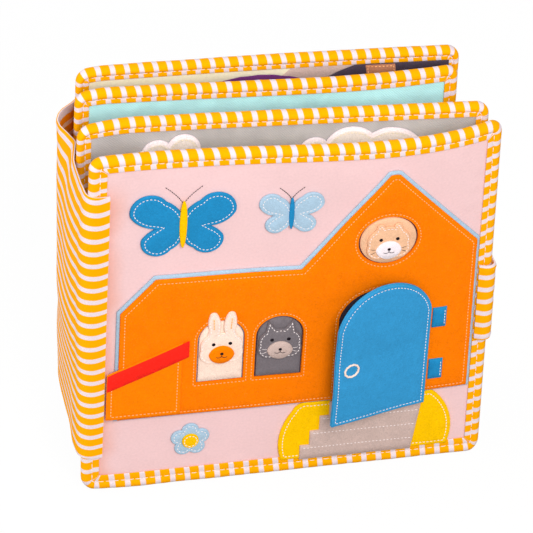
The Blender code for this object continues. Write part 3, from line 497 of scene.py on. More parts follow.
def cotton_material(name, colour, edge=None):
    """Plain weave with uneven threads, and a painted reflection of the yellow spine's light on the cloth beside it.
    """
    g = Graph(name, 0.88, sheen=0.01)
    slubs = g.noise(0.8, detail=4.0)
    clouds = g.noise(0.03, detail=2.0)
    tone = g.math("ADD", g.span(slubs, 0.25, 0.75, 0.955, 1.035), g.span(clouds, 0.3, 0.7, -0.02, 0.02))
    plain = linear(colour)
    if edge:
        # Painted reflection of the spine's warm light: a wavering strip beside the spine, fading out towards the
        # head
        wavering = g.math("ADD", g.along, g.span(clouds, 0.2, 0.8, -5.0, 5.0))
        painted_bounce_share = g.span(wavering, edge + 6, edge + 17, 0.8, 0.0, True)
        painted_bounce_share = g.math("MULTIPLY", painted_bounce_share, g.span(g.across, edge + 172, edge + 190, 1.0, 0.0, True))
        plain = g.mix(painted_bounce_share, plain, linear(COLOURS["spine_bounce_pink"]))
    base = g.shade(plain, tone)
    threads = g.weave(0.55)
    base = g.mix(g.span(threads, 0.0, 1.0, 0.06, 0.0), base, g.shade(plain, 0.82))
    height = g.math("ADD", threads, g.math("MULTIPLY", slubs, 0.8))
    return g.finish(base, height, strength=0.35, distance=0.00018)


def twill_material(name, colour):
    """Slanting ribs, with painted shade of soft creases."""
    g = Graph(name, 0.85, sheen=0.01)
    slant = g.math("ADD", g.math("MULTIPLY", g.along, 0.72), g.math("MULTIPLY", g.across, 0.70))
    wobble = g.math("MULTIPLY", g.noise(0.5, detail=3.0), 1.2)
    ribs = g.math("SINE", g.math("MULTIPLY", g.math("ADD", slant, wobble), math.tau / 0.95))
    # Painted shade: broad clouds, darker more than lighter, stand in for the shade of soft creases
    clouds = g.noise(0.055, detail=4.0, distortion=0.8)
    tone = g.math("ADD", g.span(ribs, -1.0, 1.0, 0.95, 1.03), g.span(clouds, 0.36, 0.64, -0.11, 0.04))
    return g.finish(g.shade(linear(colour), tone), ribs, strength=0.2, distance=0.0002)


def stripe_material(name):
    """Woven yellow and white stripes across the cloth's length, with painted light on its inner side: deeper orange
    and peach stand in for light shining through the cloth and bouncing inside the spine.
    """
    g = Graph(name, 0.86, sheen=0.01)
    period = STRIPE_PERIOD / MM
    wobble = g.span(g.noise(0.06, detail=2.0), 0.3, 0.7, -0.22, 0.22)
    ragged = g.span(g.noise(2.2, detail=2.0), 0.3, 0.7, -0.07, 0.07)
    place = g.math("ADD", g.along, g.math("ADD", wobble, ragged))
    turn = g.math("FRACT", g.math("DIVIDE", place, period))
    off = g.math("MULTIPLY", g.math("ABSOLUTE", g.math("SUBTRACT", turn, 0.5)), period)
    half = YELLOW_SHARE * period / 2
    yellow = g.span(off, half - 0.14, half + 0.14, 1.0, 0.0, smooth=True)
    outer = g.mix(yellow, linear(COLOURS["white_stripe"]), linear(COLOURS["yellow_stripe"]))
    # Painted light on the inner side: light through the cloth and bounced inside the spine, shown as deeper colours
    inner = g.mix(yellow, linear(COLOURS["inside_glow_peach"]), linear(COLOURS["inside_glow_orange"]))
    slubs = g.noise(1.1, detail=4.0)
    tone = g.span(slubs, 0.25, 0.75, 0.95, 1.04)
    base = g.shade(g.mix(g.side, outer, inner), tone)
    height = g.math("ADD", g.weave(0.5), g.math("MULTIPLY", slubs, 0.7))
    return g.finish(base, height, strength=0.3, distance=0.00016)


def plain_material(name, colour, roughness, grain):
    g = Graph(name, roughness)
    tone = g.span(g.noise(grain, detail=3.0), 0.25, 0.75, 0.86, 1.08)
    return g.finish(g.shade(linear(colour), tone), g.noise(grain * 2), strength=0.3)


def make_materials():
    made = {"stripe": stripe_material("stripe_cotton")}
    for name, colour in COLOURS.items():
        if name.endswith("_felt"):
            made[name] = felt_material(name, colour)
        elif name in ("mint_cotton", "grey_cotton"):
            made[name] = twill_material(name, colour)
        elif name.endswith("_cotton"):
            # Where the front cover's pink cloth pattern starts, which places its painted reflection beside the spine
            edge = PINK_SHIFT / MM if name == "pink_cotton" else None
            made[name] = cotton_material(name, colour, edge)
        elif name in PLAIN_FINISHES:
            made[name] = plain_material(name, colour, PLAIN_FINISHES[name], 1.4)
    return made


MATERIALS = make_materials()


def add_mesh(name, points, faces, cloth, finish, sharp_degrees=55):
    """A mesh from world points, with its pattern coordinates as the attribute cloth, in millimetres."""
    mesh = bpy.data.meshes.new(name)
    mesh.from_pydata(np.asarray(points).tolist(), [], faces)
    bm = bmesh.new()
    bm.from_mesh(mesh)
    bmesh.ops.recalc_face_normals(bm, faces=bm.faces[:])
    bm.to_mesh(mesh)
    bm.free()
    values = mesh.attributes.new("cloth", "FLOAT_VECTOR", "POINT")
    values.data.foreach_set("vector", (np.asarray(cloth, float) / MM).astype(np.float32).ravel())
    mesh.shade_smooth()
    mesh.set_sharp_from_angle(angle=math.radians(sharp_degrees))
    mesh.materials.append(MATERIALS[finish])
    obj = bpy.data.objects.new(name, mesh)
    bpy.context.scene.collection.objects.link(obj)
    return obj


def grid_faces(rows, columns, around=False):
    """Quads of a grid of points that is stored row by row."""
    made = []
    for r in range(rows - 1):
        for c in range(columns if around else columns - 1):
            n = (c + 1) % columns
            low, high = r * columns, (r + 1) * columns
            made.append((low + c, low + n, high + n, high + c))
    return made


def slab(name, outer, inner, cloth, finish, turned=None):
    """A closed thin sheet between two grids of world points, each (rows, columns, 3).

    The inner side has the same pattern, or one of its own.
    """
    rows, columns, _ = outer.shape
    count = rows * columns
    faces = grid_faces(rows, columns)
    faces += [tuple(i + count for i in reversed(f)) for f in grid_faces(rows, columns)]
    rim = list(range(columns))
    rim += [r * columns + columns - 1 for r in range(1, rows)]
    rim += [(rows - 1) * columns + c for c in range(columns - 2, -1, -1)]
    rim += [r * columns for r in range(rows - 2, 0, -1)]
    for a, b in zip(rim, rim[1:] + rim[:1]):
        faces.append((a, b, b + count, a + count))
    points = np.concatenate([outer.reshape(-1, 3), inner.reshape(-1, 3)])
    turned = cloth if turned is None else turned
    pattern = np.concatenate([cloth.reshape(-1, 3), turned.reshape(-1, 3)])
    return add_mesh(name, points, faces, pattern, finish)


# Outlines, clockwise. The third number of a point bulges the side to the next point outwards
def arc_points(start, end, bulge):
    start, end = Vector(start), Vector(end)
    if not bulge:
        return [tuple(start)]
    chord = end - start
    half_angle = 2 * math.atan(2 * bulge)
    radius = chord.length / (2 * math.sin(half_angle))
    side = Vector((-chord.y, chord.x)).normalized()
    centre = (start + end) / 2 - side * radius * math.cos(half_angle)
    steps = max(2, math.ceil(2 * half_angle / ARC_STEP))
    begin = math.atan2(start.y - centre.y, start.x - centre.x)
    turns = [begin - 2 * half_angle * i / steps for i in range(steps)]
    return [(centre.x + radius * math.cos(a), centre.y + radius * math.sin(a)) for a in turns]


def curved_outline(points):
    made = []
    for (u, v, bulge), (next_u, next_v, _) in zip(points, points[1:] + points[:1]):
        made += arc_points((u, v), (next_u, next_v), bulge)
    return made


def box_outline(left, bottom, right, top):
    return [(left, bottom), (left, top), (right, top), (right, bottom)]


def rounded_outline(left, bottom, right, top, corner):
    bulge = (math.sqrt(2) - 1) / 2
    return curved_outline(
        [
            (left, bottom + corner, 0.0), (left, top - corner, bulge),
            (left + corner, top, 0.0), (right - corner, top, bulge),
            (right, top - corner, 0.0), (right, bottom + corner, bulge),
            (right - corner, bottom, 0.0), (left + corner, bottom, bulge),
        ]
    )


def circle_outline(middle, radius):
    return curved_outline([(middle[0] - radius, middle[1], 0.5), (middle[0] + radius, middle[1], 0.5)])


def ellipse_outline(middle, half_width, half_height, steps=28):
    turns = [math.pi / 2 - math.tau * i / steps for i in range(steps)]
    return [(middle[0] + half_width * math.cos(a), middle[1] + half_height * math.sin(a)) for a in turns]


def arched_outline(left, bottom, right, top, rise_share):
    spring = top - (right - left) * rise_share
    return curved_outline(
        [(left, bottom, 0.0), (left, spring, rise_share), (right, spring, 0.0), (right, bottom, 0.0)]
    )


def shrink(outline, distance):
    """Moves each side of a clockwise outline inwards, or outwards for a negative distance."""
    made = []
    for before, here, after in zip(outline[-1:] + outline[:-1], outline, outline[1:] + outline[:1]):
        along_in = (Vector(here) - Vector(before)).normalized()
        along_out = (Vector(after) - Vector(here)).normalized()
        inward = Vector((along_in.y + along_out.y, -along_in.x - along_out.x)).normalized()
        stretch = max(inward.dot(Vector((along_in.y, -along_in.x))), 0.5)
        made.append(tuple(Vector(here) + inward * distance / stretch))
    return made


def field_point(leaf, across_share, up_share, margin=0.0):
    edge = TAPE_WIDTH + SEAT + margin
    return (
        edge + across_share * (leaf.width - 2 * edge),
        edge + up_share * (LEAF_HEIGHT - 2 * edge),
    )


def field_box(leaf, shares, margin=0.0):
    left, bottom, right, top = shares
    return (*field_point(leaf, left, bottom, margin), *field_point(leaf, right, top, margin))


def field_outline(leaf, shares, margin=0.0):
    return curved_outline([(*field_point(leaf, x, y, margin), bulge) for x, y, bulge in shares])


def motif_outline(outline_shares, width, height, middle):
    return curved_outline(
        [(middle[0] + x * width / 2, middle[1] + y * height / 2, bulge) for x, y, bulge in outline_shares]
    )


def field_motif(leaf, outline_shares, width_share, height_share, across, up):
    left, bottom, right, top = field_box(leaf, (0, 0, width_share, height_share))
    return motif_outline(outline_shares, right - left, top - bottom, field_point(leaf, across, up))


def run_along(line, step):
    line = np.asarray(line, float)
    lengths = np.linalg.norm(np.diff(line, axis=0), axis=1)
    keep = np.concatenate([[True], lengths > 1e-9])
    line, lengths = line[keep], lengths[lengths > 1e-9]
    total = np.concatenate([[0], np.cumsum(lengths)])
    count = max(1, round(total[-1] / step))
    at = (np.arange(count) + 0.5) * total[-1] / count
    index = np.clip(np.searchsorted(total, at, side="right") - 1, 0, len(lengths) - 1)
    share = ((at - total[index]) / lengths[index])[:, None]
    places = line[index] * (1 - share) + line[index + 1] * share
    ways = (line[index + 1] - line[index]) / lengths[index][:, None]
    return places, ways


def dense(loop, step=EDGE_STEP):
    """The same loop with its long sides divided."""
    made = []
    for a, b in zip(loop, loop[1:] + loop[:1]):
        pieces = max(1, math.ceil(math.dist(a, b) / step))
        made += [(a[0] + (b[0] - a[0]) * i / pieces, a[1] + (b[1] - a[1]) * i / pieces) for i in range(pieces)]
    return made


def distance_to(points, loop):
    """Each point's distance to a closed loop."""
    a = np.asarray(loop, float)
    b = np.roll(a, -1, axis=0)
    way = b - a
    share = ((points[:, None] - a[None]) * way).sum(2) / np.maximum((way**2).sum(1), 1e-18)
    near = a[None] + np.clip(share, 0, 1)[..., None] * way[None]
    return np.linalg.norm(points[:, None] - near, axis=2).min(axis=1)


def inside(points, loop):
    """Which points lie inside a closed loop."""
    a = np.asarray(loop, float)
    b = np.roll(a, -1, axis=0)
    x, y = points[:, :1], points[:, 1:]
    crosses = (a[:, 1] > y) != (b[:, 1] > y)
    rise = np.where(b[:, 1] == a[:, 1], 1e-18, b[:, 1] - a[:, 1])
    left = x < (b[:, 0] - a[:, 0]) * (y - a[:, 1]) / rise + a[:, 0]
    return (crosses & left).sum(axis=1) % 2 == 1


class Threads:
    """Stitches and beads that ride on one body in one thread, gathered into one piece."""

    gathered = {}

    def __init__(self, body, finish):
        self.body, self.finish = body, finish
        self.points, self.cloth, self.faces, self.count = [], [], [], 0

    @classmethod
    def on(cls, body, finish):
        return cls.gathered.setdefault((body, finish), cls(body, finish))

    def add(self, points, faces, cloth):
        self.points.append(points)
        self.cloth.append(cloth)
        self.faces += [tuple(i + self.count for i in face) for face in faces]
        self.count += len(points)

    def build(self):
        obj = add_mesh(
            f"{self.body}_{self.finish}_stitches", np.concatenate(self.points), self.faces,
            np.concatenate(self.cloth), self.finish,
        )
        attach(obj, self.body)


def stitch_form(length, radius):
    """One stitch along x: its points, arched out of the cloth, and its faces."""
    around = 6
    places = (-1.0, -0.62, 0.0, 0.62, 1.0)
    girths = (0.5, 0.95, 1.05, 0.95, 0.5)
    rises = (-0.9, 0.35, 0.75, 0.35, -0.9)
    points = []
    for place, girth, rise in zip(places, girths, rises):
        for k in range(around):
            a = math.tau * k / around
            points.append(
                (place * length / 2, girth * radius * math.cos(a), radius * (rise + girth * math.sin(a) * 0.8))
            )
    faces = grid_faces(len(places), around, around=True)
    faces += [tuple(range(around)), tuple(range(len(points) - 1, len(points) - around - 1, -1))]
    return np.array(points), faces


def sew(threads, place, centres, ways, height, length=STITCH_LENGTH, radius=THREAD_RADIUS):
    """Puts a stitch at each centre (u, v), along its way, at the height w."""
    form, faces = stitch_form(length, radius)
    centres, ways = np.asarray(centres, float), np.asarray(ways, float)
    heights = np.broadcast_to(np.asarray(height, float), (len(centres),))
    u = centres[:, 0, None] + form[:, 0] * ways[:, 0, None] - form[:, 1] * ways[:, 1, None]
    v = centres[:, 1, None] + form[:, 0] * ways[:, 1, None] + form[:, 1] * ways[:, 0, None]
    w = heights[:, None] + np.broadcast_to(form[:, 2], u.shape)
    flat = np.stack([u, v, w], axis=2).reshape(-1, 3)
    count = len(form)
    all_faces = [tuple(i + n * count for i in face) for n in range(len(centres)) for face in faces]
    threads.add(place(flat), all_faces, flat)


def sew_line(threads, place, line, height, period=STITCH_PERIOD, length=STITCH_LENGTH, radius=THREAD_RADIUS):
    centres, ways = run_along(line, period)
    sew(threads, place, centres, ways, height, length, radius)


def bead(threads, place, middle, height, radius, flatness=0.6):
    """A small dome, such as an eye."""
    rings, around = 5, 12
    points = []
    for r in range(rings):
        lean = math.pi / 2 * r / rings
        for k in range(around):
            a = math.tau * k / around
            points.append(
                (
                    middle[0] + radius * math.cos(lean) * math.cos(a),
                    middle[1] + radius * math.cos(lean) * math.sin(a),
                    height + radius * flatness * math.sin(lean),
                )
            )
    faces = grid_faces(rings, around, around=True)
    faces += [tuple(range(around)), tuple(range(len(points) - 1, len(points) - around - 1, -1))]
    threads.add(place(np.array(points)), faces, np.array(points))


def felt_piece(
    name, body, place, outline, low, thickness, finish, node, holes=(), below=None, thread=None,
    inset=STITCH_INSET, hole_stitch=False, drop=0.0, slot=None,
):
    """A cut felt piece with softened edges, grooves where it is sewn, and its stitches.

    Its outer edge is sewn down by drop, so that it meets the piece under it.
    """
    loops = [dense(list(outline))] + [dense(list(h)) for h in holes]
    cut = [shrink(loops[0], EDGE_ROUND)] + [shrink(loop, -EDGE_ROUND) for loop in loops[1:]]
    seams = [shrink(loops[0], inset)] if thread else []
    if hole_stitch:
        seams += [shrink(loop, -0.75 * inset) for loop in loops[1:]]
    boundary = np.array([p for loop in cut for p in loop])
    points = [boundary]
    for seam in seams:
        for offset in (-GROOVE_HALF, 0.0, GROOVE_HALF):
            line = shrink(seam, offset)
            points.append(run_along(line + line[:1], 1.3 * MM)[0])
    box_low, box_high = boundary.min(0), boundary.max(0)
    grid = [
        (u + (GRID_STEP / 2 if row % 2 else 0.0), v)
        for row, v in enumerate(np.arange(box_low[1], box_high[1], GRID_STEP * 0.87))
        for u in np.arange(box_low[0], box_high[0], GRID_STEP)
    ]
    grid = np.array(grid).reshape(-1, 2)
    for seam in seams:
        if len(grid):
            grid = grid[distance_to(grid, seam) > 1.8 * GROOVE_HALF]
    points.append(grid)
    inner = np.concatenate(points[1:])
    fits = inside(inner, cut[0]) & (distance_to(inner, cut[0]) > 0.3 * MM)
    for loop in cut[1:]:
        fits &= ~inside(inner, loop) & (distance_to(inner, loop) > 0.3 * MM)
    inner = inner[fits]
    flat = np.concatenate([boundary, inner])
    edges, first = [], 0
    for loop in cut:
        count = len(loop)
        edges += [(first + i, first + (i + 1) % count) for i in range(count)]
        first += count
    found = delaunay_2d_cdt([Vector(p) for p in flat], edges, [], 0, 1e-7)
    origins = [ids[0] if ids else None for ids in found[3]]
    triangles = [[origins[i] for i in face] for face in found[2]]
    triangles = [t for t in triangles if None not in t and len(set(t)) == 3]
    middles = np.array([flat[t].mean(axis=0) for t in triangles])
    fits = inside(middles, cut[0])
    for loop in cut[1:]:
        fits &= ~inside(middles, loop)
    triangles = [t for t, good in zip(triangles, fits) if good]

    edge = distance_to(flat, loops[0])
    height = low + thickness + PUFF * (1 - np.exp(-edge / (2.5 * MM)))
    for seam in seams:
        height = height - GROOVE * np.exp(-((distance_to(flat, seam) / (0.6 * MM)) ** 2))
    sunk = drop * np.clip(1 - edge / DROP_REACH, 0, 1) ** 2
    count, rim = len(flat), len(boundary)
    outer = np.array([p for loop in loops for p in loop])
    rim_sunk = sunk[:rim]
    top = np.column_stack([flat, height - sunk])
    middle_ring = np.column_stack([outer, np.full(rim, low + 0.62 * thickness) - rim_sunk])
    bottom = np.column_stack([np.concatenate([outer, inner]), np.full(count, low) - sunk])
    solid = np.concatenate([top, middle_ring, bottom])
    faces = [tuple(t) for t in triangles]
    faces += [tuple(i + count + rim for i in reversed(t)) for t in triangles]
    for a, b in edges:
        faces.append((a, b, count + b, count + a))
        faces.append((count + a, count + b, count + rim + b, count + rim + a))
    shift = [random.Random(key).uniform(0, 400) * MM for key in (name, name + "v")]
    shift = np.array([*shift, 0])
    obj = add_mesh(name, place(solid), faces, solid + shift, finish, 60)
    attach(obj, body)
    if node:
        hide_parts(node)
    if thread:
        surface = low + thickness - GROOVE * 0.4
        for seam in seams:
            at, ways = run_along(seam + seam[:1], STITCH_PERIOD)
            near = distance_to(at, loops[0])
            fits = inside(at, loops[0]) & (near > 0.6 * inset)
            sink = drop * np.clip(1 - near / DROP_REACH, 0, 1) ** 2
            sew(Threads.on(body, thread), place, at[fits], ways[fits], (surface - sink)[fits])
    return obj


def leaf_panels(leaf, front_finish, back_finish, crinkles):
    """A leaf's two cloths, its padding and its crinkle film."""
    spans = leaf.width - 2 * PANEL_INSET, LEAF_HEIGHT - 2 * PANEL_INSET
    columns, rows = [round(span / PANEL_STEP) + 1 for span in spans]
    u, v = np.meshgrid(
        np.linspace(PANEL_INSET, leaf.width - PANEL_INSET, columns),
        np.linspace(PANEL_INSET, LEAF_HEIGHT - PANEL_INSET, rows),
    )
    shift = leaf.seed * 37 * MM

    def grid(w):
        return leaf.place(np.stack([u, v, np.broadcast_to(w, u.shape)], axis=2)).reshape(rows, columns, 3)

    def layer(name, outer, inner, finish, node, slot):
        cloth = np.stack([u + shift, v + shift, np.zeros_like(u)], axis=2)
        obj = slab(leaf.name + name, grid(outer), grid(inner), cloth, finish)
        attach(obj, leaf.body)
        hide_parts(leaf.name + node)
        return obj

    front = layer("_front_panel", PANEL_HALF, PANEL_HALF - CLOTH, front_finish, "_front_cloth", front_finish)
    back = layer("_back_panel", -PANEL_HALF, CLOTH - PANEL_HALF, back_finish, "_back_cloth", back_finish)
    top = PANEL_HALF - CLOTH - SEAT
    film_low = top - FILM if crinkles else top
    quilt = 0.15 * MM * waves(u, v, 16 * MM, leaf.seed + 7)
    if crinkles:
        crumple = 0.10 * MM * np.abs(waves(u, v, 8 * MM, leaf.seed + 8))
        film = layer("_crinkle_sheet", top - crumple, top - crumple - 0.1 * MM, "crinkle_film",
                     "_crinkle_film", "crinkle_film")
    padding = layer("_padding", film_low - SEAT - np.abs(quilt), -top, "wadding", "_wadding", "wadding")


def tape_path(leaf, inset):
    """Places along a line round the leaf at an inset, with the way round and the corner share of each."""
    radius = max(TAPE_CORNER - inset, 0.4 * MM)
    free = TAPE_WIDTH + 1.0 * MM
    low, right, top = inset + radius, leaf.width - inset - radius, LEAF_HEIGHT - inset - radius
    across = np.linspace(free, leaf.width - free, round((leaf.width - 2 * free) / TAPE_STEP) + 1)
    upwards = np.linspace(free, LEAF_HEIGHT - free, round((LEAF_HEIGHT - 2 * free) / TAPE_STEP) + 1)
    sides = [
        ((right, top), [(u, LEAF_HEIGHT - inset, leaf.width - TAPE_CORNER - u) for u in across[::-1]]),
        ((low, top), [(inset, v, LEAF_HEIGHT - TAPE_CORNER - v) for v in upwards[::-1]]),
        ((low, low), [(u, inset, u - TAPE_CORNER) for u in across]),
        ((right, low), [(leaf.width - inset, v, v - TAPE_CORNER) for v in upwards]),
    ]
    runs = (leaf.width - 2 * TAPE_CORNER, LEAF_HEIGHT - 2 * TAPE_CORNER) * 2
    steps = 12
    made, length = [], 0.0
    for quarter, (((u, v), side), run) in enumerate(zip(sides, runs)):
        for i in range(steps + 1):
            angle = math.pi / 2 * (quarter + i / steps)
            here = length + TAPE_CORNER * math.pi / 2 * i / steps
            made.append((u + radius * math.cos(angle), v + radius * math.sin(angle), here, i / steps))
        length += TAPE_CORNER * math.pi / 2
        made += [(u, v, length + along, -1.0) for u, v, along in side]
        length += run
    made.append((*made[0][:2], length, 0.0))
    return np.array(made).T, length


def foot_widened(leaf, v):
    """The front cover's tape is a little wider along its foot."""
    if leaf is not FRONT:
        return v
    rising = np.clip(v / TAPE_WIDTH, 0, 1)
    return v + TAPE_FOOT_EXTRA * rising * np.clip(1 - (v - TAPE_WIDTH) / (40 * MM), 0, 1)


def leaf_tape(leaf):
    """The striped tape round a leaf: flat outside its seam, full round the edge, mitred at the corners."""
    narrower = leaf.tape / TAPE_WIDTH
    front = [(inset * narrower, w) for inset, w in TAPE_PROFILE_MM]
    seam_inset = TAPE_SEAM_INSET * narrower
    profile = front + [(inset, -w) for inset, w in reversed(front[:-1])] + TAPE_INNER_MM
    profile = np.array(profile) * MM
    along_profile = path_lengths(profile)
    rings, cloth = [], []
    for (inset, w), across in zip(profile, along_profile):
        (u, v, s, corner), total = tape_path(leaf, inset)
        v = foot_widened(leaf, v)
        side = 1.0 if w > 0 else -1.0
        seam = np.exp(-(((inset - seam_inset) / (1.1 * MM)) ** 2))
        full = np.clip((seam_inset - inset) / (2 * MM), 0, 1)
        pucker = waves(s, 0.3 * s, 5.2 * MM, leaf.seed + (3 if w > 0 else 4))
        swell = waves(s, np.zeros_like(s), 26 * MM, leaf.seed + 5)
        depth = 0.13 * MM * pucker * seam + full * (0.10 * MM * pucker + 0.22 * MM * swell)
        fold = np.where(corner >= 0, np.exp(-(((corner - 0.5) / 0.10) ** 2)), 0.0)
        crease = 0.45 * MM * fold * np.clip((inset - 1.5 * MM) / (2 * MM), 0, 1)
        scale = abs(w) / (3 * MM)
        shifted = w + side * (depth - crease) * scale
        rings.append(leaf.place(np.column_stack([u, v, shifted]), soft=False))
        repeats = round(total / leaf.period)
        upper = np.clip((v - LEAF_HEIGHT + 20 * MM) / (12 * MM), 0, 1)
        lower = np.clip((20 * MM - v) / (12 * MM), 0, 1)
        jump = (1.0 - 1.8 * upper - 1.0 * lower) * MM if inset > seam_inset else 0.0
        slant = -0.12 * (across - along_profile[len(front)]) + jump
        phase = (s + leaf.shift) * repeats * STRIPE_PERIOD / total + slant
        cloth.append(np.column_stack([phase, np.full(len(s), across), np.zeros(len(s))]))
    rings.append(rings[0])
    cloth.append(cloth[-1] + np.array([0, 1.4 * MM, 0]))
    rings, cloth = np.array(rings), np.array(cloth)
    rows, columns, _ = rings.shape
    obj = add_mesh(
        leaf.name + "_tape", rings.reshape(-1, 3), grid_faces(rows, columns), cloth.reshape(-1, 3), "stripe", 75
    )
    bm = bmesh.new()
    bm.from_mesh(obj.data)
    bmesh.ops.remove_doubles(bm, verts=bm.verts[:], dist=1e-7)
    bm.to_mesh(obj.data)
    bm.free()
    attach(obj, leaf.body)
    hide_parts(leaf.name + "_binding")
    (u, v, _, _), _ = tape_path(leaf, seam_inset)
    centres, ways = run_along(np.column_stack([u, foot_widened(leaf, v)]), TAPE_STITCH_PERIOD)
    for side in (1, -1):
        sew(
            Threads.on(leaf.body, "white_thread"), leaf.rigid, centres, ways,
            side * 2.74 * MM, TAPE_STITCH_LENGTH, TAPE_THREAD_RADIUS * side,
        )


def smoothed(line, spacing, reach):
    """A line resampled evenly and rounded off over a reach."""
    line = np.asarray(line)
    lengths = path_lengths(line)
    at = np.linspace(0, lengths[-1], max(2, round(lengths[-1] / spacing)) + 1)
    even = np.column_stack([np.interp(at, lengths, line[:, k]) for k in range(2)])
    taps = max(1, round(reach / spacing))
    kernel = np.hanning(2 * taps + 3)[1:-1]
    kernel /= kernel.sum()
    padded = np.concatenate([2 * even[0] - even[taps:0:-1], even, 2 * even[-1] - even[-2:-taps - 2:-1]])
    return np.column_stack([np.convolve(padded[:, k], kernel, mode="valid") for k in range(2)])


def rows_smoothed(rows, spacing, reach):
    """Rows of numbers evened out from row to row."""
    steps = np.arange(len(rows)) * spacing
    columns = [smoothed(np.column_stack([steps, column]), spacing, reach)[:, 1] for column in rows.T]
    return np.column_stack(columns)


def spine_stands(levels):
    """How far the spine's outer face stands out at each height and station."""
    heights = np.array(list(SPINE_OUT_MM)) * MM
    table = np.array(list(SPINE_OUT_MM.values())) * MM
    return np.column_stack([np.interp(levels, heights, table[:, k]) for k in range(table.shape[1])])


def spine_line(stands):
    """The plan line of the spine's outer face, from its rear seam round to its front one."""
    hinge = np.array(FRONT.hinge[:2])
    face, lap = SPINE_FACE, SPINE_LAP
    back_corner = BACK.plan(0, face)
    rear = [BACK.plan(share * lap, face) for share in (1.0, 0.75, 0.5, 0.25)] + [back_corner]
    stations = np.array(SPINE_STATIONS_MM) * MM
    side = [hinge + np.array([-out, behind]) for out, behind in zip(stands, stations)]
    landing = hinge + np.array(SPINE_LANDING_MM) * MM * np.array([-1, 1])
    start, reach = SPINE_CORNER_START, stations[0] + face
    corner = []
    for angle in np.linspace(math.pi / 2, 0, 14)[1:]:
        x = start - (start + stands[0]) * math.sin(angle) ** SPINE_CORNER_POWER
        y = stations[0] - reach * math.cos(angle) ** SPINE_CORNER_POWER
        corner.append(hinge + np.array([x, y]))
    front = [FRONT.plan(share * lap, -face) for share in (0.8, 1.0)]
    line = np.array(rear + [landing] + side[::-1] + corner + front)
    return smoothed(line, 0.5 * MM, SPINE_SMOOTHING)


def even(line, count):
    lengths = path_lengths(line)
    at = np.linspace(0, lengths[-1], count)
    return np.column_stack([np.interp(at, lengths, line[:, k]) for k in range(2)])


def spine_columns(line):
    """Points along a plan line, in fixed numbers: to the third leaf, on to the second and on to the front."""
    cuts = [int(np.argmin(np.abs(line[:, 1] - leaf.hinge.y + SPINE_CLEAR))) for leaf in (THIRD, SECOND)]
    stretches = (line[: cuts[0] + 1], line[cuts[0] : cuts[1] + 1], line[cuts[1] :])
    points = [even(stretch, count + 1) for stretch, count in zip(stretches, SPINE_COLUMNS)]
    return np.concatenate([points[0], points[1][1:], points[2][1:]])


def spine_pattern(z):
    """Where on the striped cloth a height lies: the stripes are a little wider towards the head."""
    share = (z - SPINE_HEAD_YELLOW) / SPINE_STRIPED_HEIGHT
    turns = share * SPINE_STRIPES + SPINE_STRIPE_STRETCH * -share * (1 + share)
    return (turns + 0.5) * STRIPE_PERIOD


def make_spine():
    """The soft spine in three stretches, which meet beside the third and the second leaves' hinge lines."""
    rows = round((SPINE_HEAD - SPINE_FOOT) / SPINE_ROW) + 1
    levels = np.linspace(SPINE_FOOT, SPINE_HEAD, rows)
    stands = rows_smoothed(spine_stands(levels), SPINE_ROW, 7 * MM)
    outer, inner, cloth = [], [], []
    for z, stand in zip(levels, stands):
        line = spine_columns(spine_line(stand))
        out, along = outward(line), path_lengths(line)
        rise = np.full(len(line), z)
        ripple = 0.22 * MM * waves(along, rise, 34 * MM, 91)
        near_hem = min(z - SPINE_FOOT, SPINE_HEAD - z) / MM
        hem = -0.35 * MM * math.exp(-(((near_hem - 4.6) / 0.9) ** 2)) - 0.3 * MM * math.exp(-near_hem)
        outer.append(np.column_stack([line + out * (hem + ripple)[:, None], rise]))
        inner.append(np.column_stack([line - out * (SPINE_CLOTH - ripple)[:, None], rise]))
        sway = 0.4 * MM * waves(along, rise, 60 * MM, 92)
        from_seam = np.minimum(along, along[-1] - along)
        curl = SPINE_CURL * np.clip(1 - from_seam / (7 * MM), 0, 1) ** 2
        cloth.append(np.column_stack([spine_pattern(rise) + sway - curl, along, np.zeros(len(line))]))
    outer, inner, cloth = np.array(outer), np.array(inner), np.array(cloth)
    turned = cloth.copy()
    # The inner side shows the painted light of light through the cloth, but the top hem's inner face keeps the outer
    # colours, with its stripes set to show white
    turned[:, :, 2] = np.clip((SPINE_HEAD - SPINE_HEM - levels) / (0.8 * MM), 0, 1)[:, None] * MM
    hem = levels > SPINE_HEAD - SPINE_HEM
    turned[hem, :, 0] = np.round(turned[hem, :, 0] / STRIPE_PERIOD) * STRIPE_PERIOD
    parts = [
        ("spine_rear", ("spine_rear_panel",), "back", "third_leaf", THIRD, (12, 1.5)),
        ("spine_middle", ("spine_middle_panel",), "third_leaf", "second_leaf", SECOND, (10, 1.5)),
        ("spine_front", ("spine_front_panel", "spine_front_wrap"), "second_leaf", "front_cover", FRONT, (12, 3)),
    ]
    first = 0
    for (name, nodes, body_a, body_b, leaf, reach), columns in zip(parts, SPINE_COLUMNS):
        part = slice(first, first + columns + 1)
        obj = slab(name, outer[:, part], inner[:, part], cloth[:, part], "stripe", turned[:, part])
        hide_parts(*nodes)
        start, end = [leaf.plan(-SPINE_CLEAR, y * MM) for y in reach]
        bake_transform(obj)
        first += columns


def strap_end_half(along):
    """Half the strap's height at a distance along its free part, with rounded end corners."""
    corner, half = 8 * MM, (STRAP_HEAD - STRAP_FOOT) / 2
    left = STRAP_LENGTH - along
    return half - corner + math.sqrt(max(corner**2 - (corner - min(left, corner)) ** 2, 0.0))


